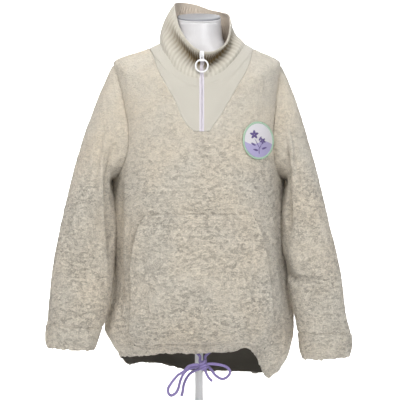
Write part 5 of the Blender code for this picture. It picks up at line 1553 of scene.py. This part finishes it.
def collar_grid():
    """The collar: straight lines from the neck seam to the rim, bowed out as a half sine, less a bell-shaped crease.

    Ribs are rounded waves on both faces, a sewn line runs round 9 mm under the rim, and a seam allowance is tucked
    under the yoke and the back.
    """
    columns_count = RIB_COUNT * 7 + 1
    share = np.linspace(0, 1, columns_count)
    first = float(angle_at_x(ZIP_X + ZIP_HALF - 0.0004, 1.0))
    last = 360 + float(angle_at_x(ZIP_X - ZIP_HALF + 0.0004, 1.0))
    base_angle = first + (last - first) * share
    rim_angle = 4.6 + (360 - 4.6 - 4.6) * share
    base = body(base_angle, 1.0)
    height = np.concatenate([np.linspace(0, 0.965, 62), [0.976, 0.985, 0.992, 0.997, 1.0]])[:, None]
    angle = base_angle + (rim_angle - base_angle) * height
    bow = around(angle, COLLAR["angle"], COLLAR["bow"])
    crease = around(angle, COLLAR["angle"], COLLAR["crease"])
    dent = np.exp(-(((height - 0.56) / 0.24) ** 2)) * np.minimum(1, 5 * height * (1 - height))
    out = bow * np.sin(math.pi * height) - crease * dent
    out = out + 0.0015 * waves(angle / 24, height * 3.0, 91) * np.sin(math.pi * height)
    way_out = np.stack([np.sin(np.radians(angle)), -np.cos(np.radians(angle)), 0 * angle], -1)
    rim = np.stack([around(rim_angle, COLLAR["angle"], COLLAR[name]) for name in "xyz"], -1)
    surface = base + (rim - base) * height[..., None] + way_out * out[..., None]
    way = unit(np.cross(np.gradient(surface, axis=1), np.gradient(surface, axis=0)))
    along = lengths_from(surface, 0)
    across = lengths_from(surface, 1)
    rib = np.cos(2 * math.pi * RIB_COUNT * share)[None, :]
    to_rim = along[-1:] - along
    proud = 0.0010 * np.sign(rib) * np.abs(rib) ** 0.7 * np.clip(along / 0.004, 0, 1)
    proud = proud * np.clip((to_rim - 0.007) / 0.004, 0.12, 1) * np.clip(0.20 + 1.2 * height, 0, 1)
    turn_in = rounded(to_rim, COLLAR_WALL / 2)
    line = 0.0007 * np.exp(-(((to_rim - 0.009) / 0.0010) ** 2))
    outer = surface - way * (KNIT_DROP - proud + turn_in + line)[..., None]
    inner = surface - way * (KNIT_DROP + COLLAR_WALL + proud * 0.8 - turn_in)[..., None]
    # Painted shade: the point attribute falls in the crease under the slouched rim, most where the crease is deep, and
    # a little in the valleys between the ribs, so the finish turns dark brown there.
    crease_painted_shade = np.exp(-(((height - 0.64) / 0.21) ** 2)) * np.clip(crease / 0.022, 0, 1.25)
    relief_and_painted_shade = np.clip(0.90 + 0.10 * rib * np.clip((to_rim - 0.007) / 0.004, 0, 1) - 0.85 * crease_painted_shade, 0, 1)
    flat = np.stack([share[None, :] * RIB_COUNT + 0 * along, along], -1)
    below = body(base_angle, 0.985)
    facing = body_normal(base_angle, 0.985)
    outer = np.concatenate([[below - facing * 0.0047], outer])
    inner = np.concatenate([[below - facing * 0.0066], inner])
    relief_and_painted_shade = np.concatenate([relief_and_painted_shade[:1], relief_and_painted_shade])
    flat = np.concatenate([flat[:1] - np.array([0, 0.003]), flat])
    return surface, way, (outer, inner, relief_and_painted_shade, flat)


# Painted shade: the outer rib's dark brown shade colour stands for the shadow in the crease under the rim, and the
# inside faces, which take 0.55 from wall, are painted almost half into a brown shade.
rib_knit = knit("collar_rib", (0.500, 0.465, 0.395), (0.620, 0.590, 0.515), (0.120, 0.080, 0.030), 2.0, 620.0, 0.5)
rib_inside = knit("collar_rib_inside", (0.680, 0.600, 0.520), (0.820, 0.745, 0.660), (0.34, 0.26, 0.18), 2.0, 620.0, 0.5)
collar_surface, collar_way, collar_parts = collar_grid()
collar_piece = wall("collar_rib_knit", *collar_parts)
collar_piece.data.materials.append(rib_knit)
collar_piece.data.materials.append(rib_inside)
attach(collar_piece, "garment")
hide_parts("collar")

# Zip
# A lilac-white coil zip of nylon on woven tapes, from the V's point up to the collar's rim. The two rows of teeth
# lock in turn, and the tapes' ends fold in at the rim.

TOOTH_PITCH = 0.0021


def zip_lines():
    """The line up the middle of the zip's face, and the directions across it and out of it."""
    v = np.linspace(V_BOTTOM, 1.0, 60)[:-1]
    low = body(angle_at_x(ZIP_X, v), v)
    left = body(angle_at_x(ZIP_X - ZIP_HALF, v), v)
    right = body(angle_at_x(ZIP_X + ZIP_HALF, v), v)
    upper = (collar_surface[:, 0] + collar_surface[:, -1]) / 2
    left = np.concatenate([left, collar_surface[:, -1]])
    right = np.concatenate([right, collar_surface[:, 0]])
    middle = np.concatenate([low, upper])
    across = unit(right - left)
    along = np.gradient(middle, axis=0)
    return middle, across, unit(np.cross(across, along))


def even(points, others, step):
    """Points and other vectors read again at even steps along the points' line."""
    at = lengths_from(points[None], 1)[0]
    new = np.arange(0, at[-1], step)
    read = [np.stack([np.interp(new, at, values[:, i]) for i in range(3)], -1) for values in (points, *others)]
    return read[0], [unit(values) for values in read[1:]], new


middle, zip_across, zip_out = zip_lines()
middle, (zip_across, zip_out), zip_along = even(middle, (zip_across, zip_out), 0.0015)
share = np.linspace(-1, 1, 13)[None, :]
reach = ZIP_HALF + 0.0006
lift = 0.0006 * np.exp(-(((np.abs(share) - 0.30) / 0.16) ** 2)) - 0.0004 * (np.abs(share) > 0.9)
tape = middle[:, None] + zip_across[:, None] * (share * reach)[..., None]
outer = tape - zip_out[:, None] * (KNIT_DROP - 0.0002 - lift)[..., None]
inner = tape - zip_out[:, None] * 0.0030
flat = np.stack([share * reach + 0 * zip_along[:, None], zip_along[:, None] + 0 * share], -1)
tape_piece = wall("zip_tape", outer, inner, np.full(outer.shape[:2], 0.9), flat)
woven, tree, shader = finish("zip_tape_weave", 0.7, Sheen_Weight=0.2)
flat_place = node(tree, "ShaderNodeUVMap", uv_map="cut").outputs[0]
parts = node(tree, "ShaderNodeSeparateXYZ", {0: flat_place})
herring = math_node(tree, "PINGPONG", math_node(tree, "MULTIPLY", parts.outputs[0], 900.0), 0.5)
weave = math_node(tree, "SINE", math_node(tree, "MULTIPLY_ADD", parts.outputs[1], 5200.0, math_node(tree, "MULTIPLY", herring, 6.0)))
tree.links.new(
    blend_colour(tree, math_node(tree, "MULTIPLY_ADD", weave, 0.5, 0.5), (0.64, 0.59, 0.66), (0.73, 0.69, 0.74)),
    shader.inputs["Base Color"],
)
bump = node(tree, "ShaderNodeBump", {"Height": weave, "Strength": 0.3, "Distance": 0.0002})
tree.links.new(bump.outputs[0], shader.inputs["Normal"])
tape_piece.data.materials.append(woven)
tape_piece.data.materials.append(woven)


def zip_teeth():
    """Teeth on both rows in turn: each a rounded bar 2.6 mm long, swept as six rings of eight points."""
    place, (across, out), _ = even(middle, (zip_across, zip_out), TOOTH_PITCH / 2)
    along = unit(np.gradient(place, axis=0))
    side = np.where(np.arange(len(place)) % 2 == 0, -1.0, 1.0)[:, None]
    reach = np.array([-0.0004, -0.0002, 0.0006, 0.0018, 0.0022, 0.0023])
    size = np.array([0.0, 0.85, 1.0, 0.9, 0.7, 0.0])
    turn = np.linspace(0, 2 * math.pi, 8, endpoint=False)
    ring = np.stack([np.cos(turn) * 0.00062, np.sin(turn) * 0.00075], -1)
    centre = place[:, None] + across[:, None] * (side * reach)[..., None] + out[:, None] * 0.0002
    return (
        centre[:, :, None]
        + along[:, None, None] * (size[:, None] * ring[None, :, 0])[None, ..., None]
        + out[:, None, None] * (size[:, None] * ring[None, :, 1])[None, ..., None]
    )


teeth_points = zip_teeth()
cells = grid_quads(6, 8, closed=True)
quads = (cells[None] + np.arange(len(teeth_points))[:, None, None] * 48).reshape(-1, 4)
teeth = make("zip_teeth", teeth_points, quads)
weld(teeth, 1e-7)
work = bmesh.new()
work.from_mesh(teeth.data)
bmesh.ops.recalc_face_normals(work, faces=work.faces)
work.to_mesh(teeth.data)
work.free()
nylon, tree, shader = finish("zip_nylon", 0.35, Coat_Weight=0.1)
spot = node(tree, "ShaderNodeTexCoord").outputs["Object"]
haze = node(tree, "ShaderNodeTexNoise", {"Vector": spot, "Scale": 500.0, "Detail": 2.0}).outputs[0]
tree.links.new(blend_colour(tree, haze, (0.68, 0.63, 0.69), (0.77, 0.73, 0.78)), shader.inputs["Base Color"])
teeth.data.materials.append(nylon)
for piece in (tape_piece, teeth):
    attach(piece, "garment")
    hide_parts("zip")

# Slider and pull
# A white enamelled die-cast slider with a raised bridge. The pull is one casting: an eye that hangs in the bridge, a
# short cross bar and a large round ring. It turns on the bridge.

enamel, tree, shader = finish("white_enamel", 0.28, Coat_Weight=0.5, Coat_Roughness=0.1)
spot = node(tree, "ShaderNodeTexCoord").outputs["Object"]
worn = node(tree, "ShaderNodeTexNoise", {"Vector": spot, "Scale": 400.0, "Detail": 4.0}).outputs[0]
rub = node(tree, "ShaderNodeMapRange", {0: worn, 1: 0.62, 2: 0.72, 3: 0.0, 4: 0.25}, clamp=True).outputs[0]
tree.links.new(blend_colour(tree, rub, (0.83, 0.83, 0.84), (0.62, 0.61, 0.60)), shader.inputs["Base Color"])
bump = node(tree, "ShaderNodeBump", {"Height": worn, "Strength": 0.06, "Distance": 0.0003})
tree.links.new(bump.outputs[0], shader.inputs["Normal"])


def oval(turn, half_x, half_z, power):
    """A closed outline in x and z: an ellipse whose sines and cosines are raised to a power, below 1 for square."""
    c = np.cos(turn)
    s = np.sin(turn)
    return half_x * np.sign(c) * np.abs(c) ** power, half_z * np.sign(s) * np.abs(s) ** power


def hoop(name, centre, half_x, half_z, power, thick_x, thick_y, count=96):
    """A closed hoop in the x and z plane with an oval section."""
    turn = np.linspace(0, 2 * math.pi, count, endpoint=False)
    x, z = oval(turn, half_x, half_z, power)
    path = np.stack([x, 0 * x, z], -1)
    outward = unit(np.cross(unit(np.roll(path, -1, axis=0) - np.roll(path, 1, axis=0)), [0, 1, 0]))
    outward = outward * np.sign((outward * path).sum(-1))[:, None]
    section = np.linspace(0, 2 * math.pi, 20, endpoint=False)
    points = path[:, None] + outward[:, None] * (np.cos(section) * thick_x)[None, :, None]
    points = points + np.array([0, 1.0, 0]) * (np.sin(section) * thick_y)[None, :, None] + np.array(centre)
    points = np.concatenate([points, points[:1]])
    piece = make(name, points, grid_quads(count + 1, 20, closed=True))
    weld(piece)
    return piece


def pillow(name, centre, half, power=0.35):
    """A box with well rounded edges and corners: a ball whose sines and cosines are raised to a power."""
    polar = np.linspace(0, math.pi, 33)[:, None]
    turn = np.linspace(0, 2 * math.pi, 48, endpoint=False)[None, :]
    ring = np.abs(np.sin(polar)) ** power
    x, y = oval(turn, 1.0, 1.0, power)
    z = np.sign(np.cos(polar)) * np.abs(np.cos(polar)) ** power
    points = np.stack([ring * x, ring * y, z + 0 * turn], -1) * np.array(half) + np.array(centre)
    piece = make(name, points, grid_quads(33, 48, closed=True))
    weld(piece)
    return piece


def face_out(piece):
    """Turns a closed piece's faces outward."""
    work = bmesh.new()
    work.from_mesh(piece.data)
    bmesh.ops.recalc_face_normals(work, faces=work.faces)
    work.to_mesh(piece.data)
    work.free()


hinge = (0.006, -0.10964, 0.8058)
slider_front = hinge[1] + 0.0020
plate = pillow("slider_plate", (hinge[0], slider_front + 0.0018, 0.8100), (0.00475, 0.0018, 0.0065))
arch = ((0.0010, 0.8152), (-0.0022, 0.8150), (-0.0040, 0.8134), (-0.0047, 0.8112), (-0.0047, 0.8072))
arch += ((-0.0040, 0.8050), (-0.0022, 0.8037), (0.0010, 0.8045))
bridge_path = smooth_path([(hinge[0], slider_front + y, z) for y, z in arch], 48)
bridge, _ = tube("slider_bridge", bridge_path, 0.0008, (1.0, 0.0, 0.0), sides=16)
for piece in (plate, bridge):
    face_out(piece)
    piece.data.materials.append(enamel)
    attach(piece, "garment")
    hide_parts("zip_slider")
eye = hoop("pull_eye", (hinge[0], hinge[1], 0.80175), 0.00325, 0.0040, 0.6, 0.00112, 0.0009)
bar = pillow("pull_bar", (hinge[0], hinge[1], 0.7961), (0.0082, 0.0012, 0.0017), 0.5)
ring = hoop("pull_ring", (hinge[0], hinge[1], 0.7850), 0.0131, 0.0131, 1.0, 0.0018, 0.0018, 128)
for piece in (eye, bar, ring):
    face_out(piece)
    piece.data.materials.append(enamel)
    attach(piece, "pull")
    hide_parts("zip_pull")
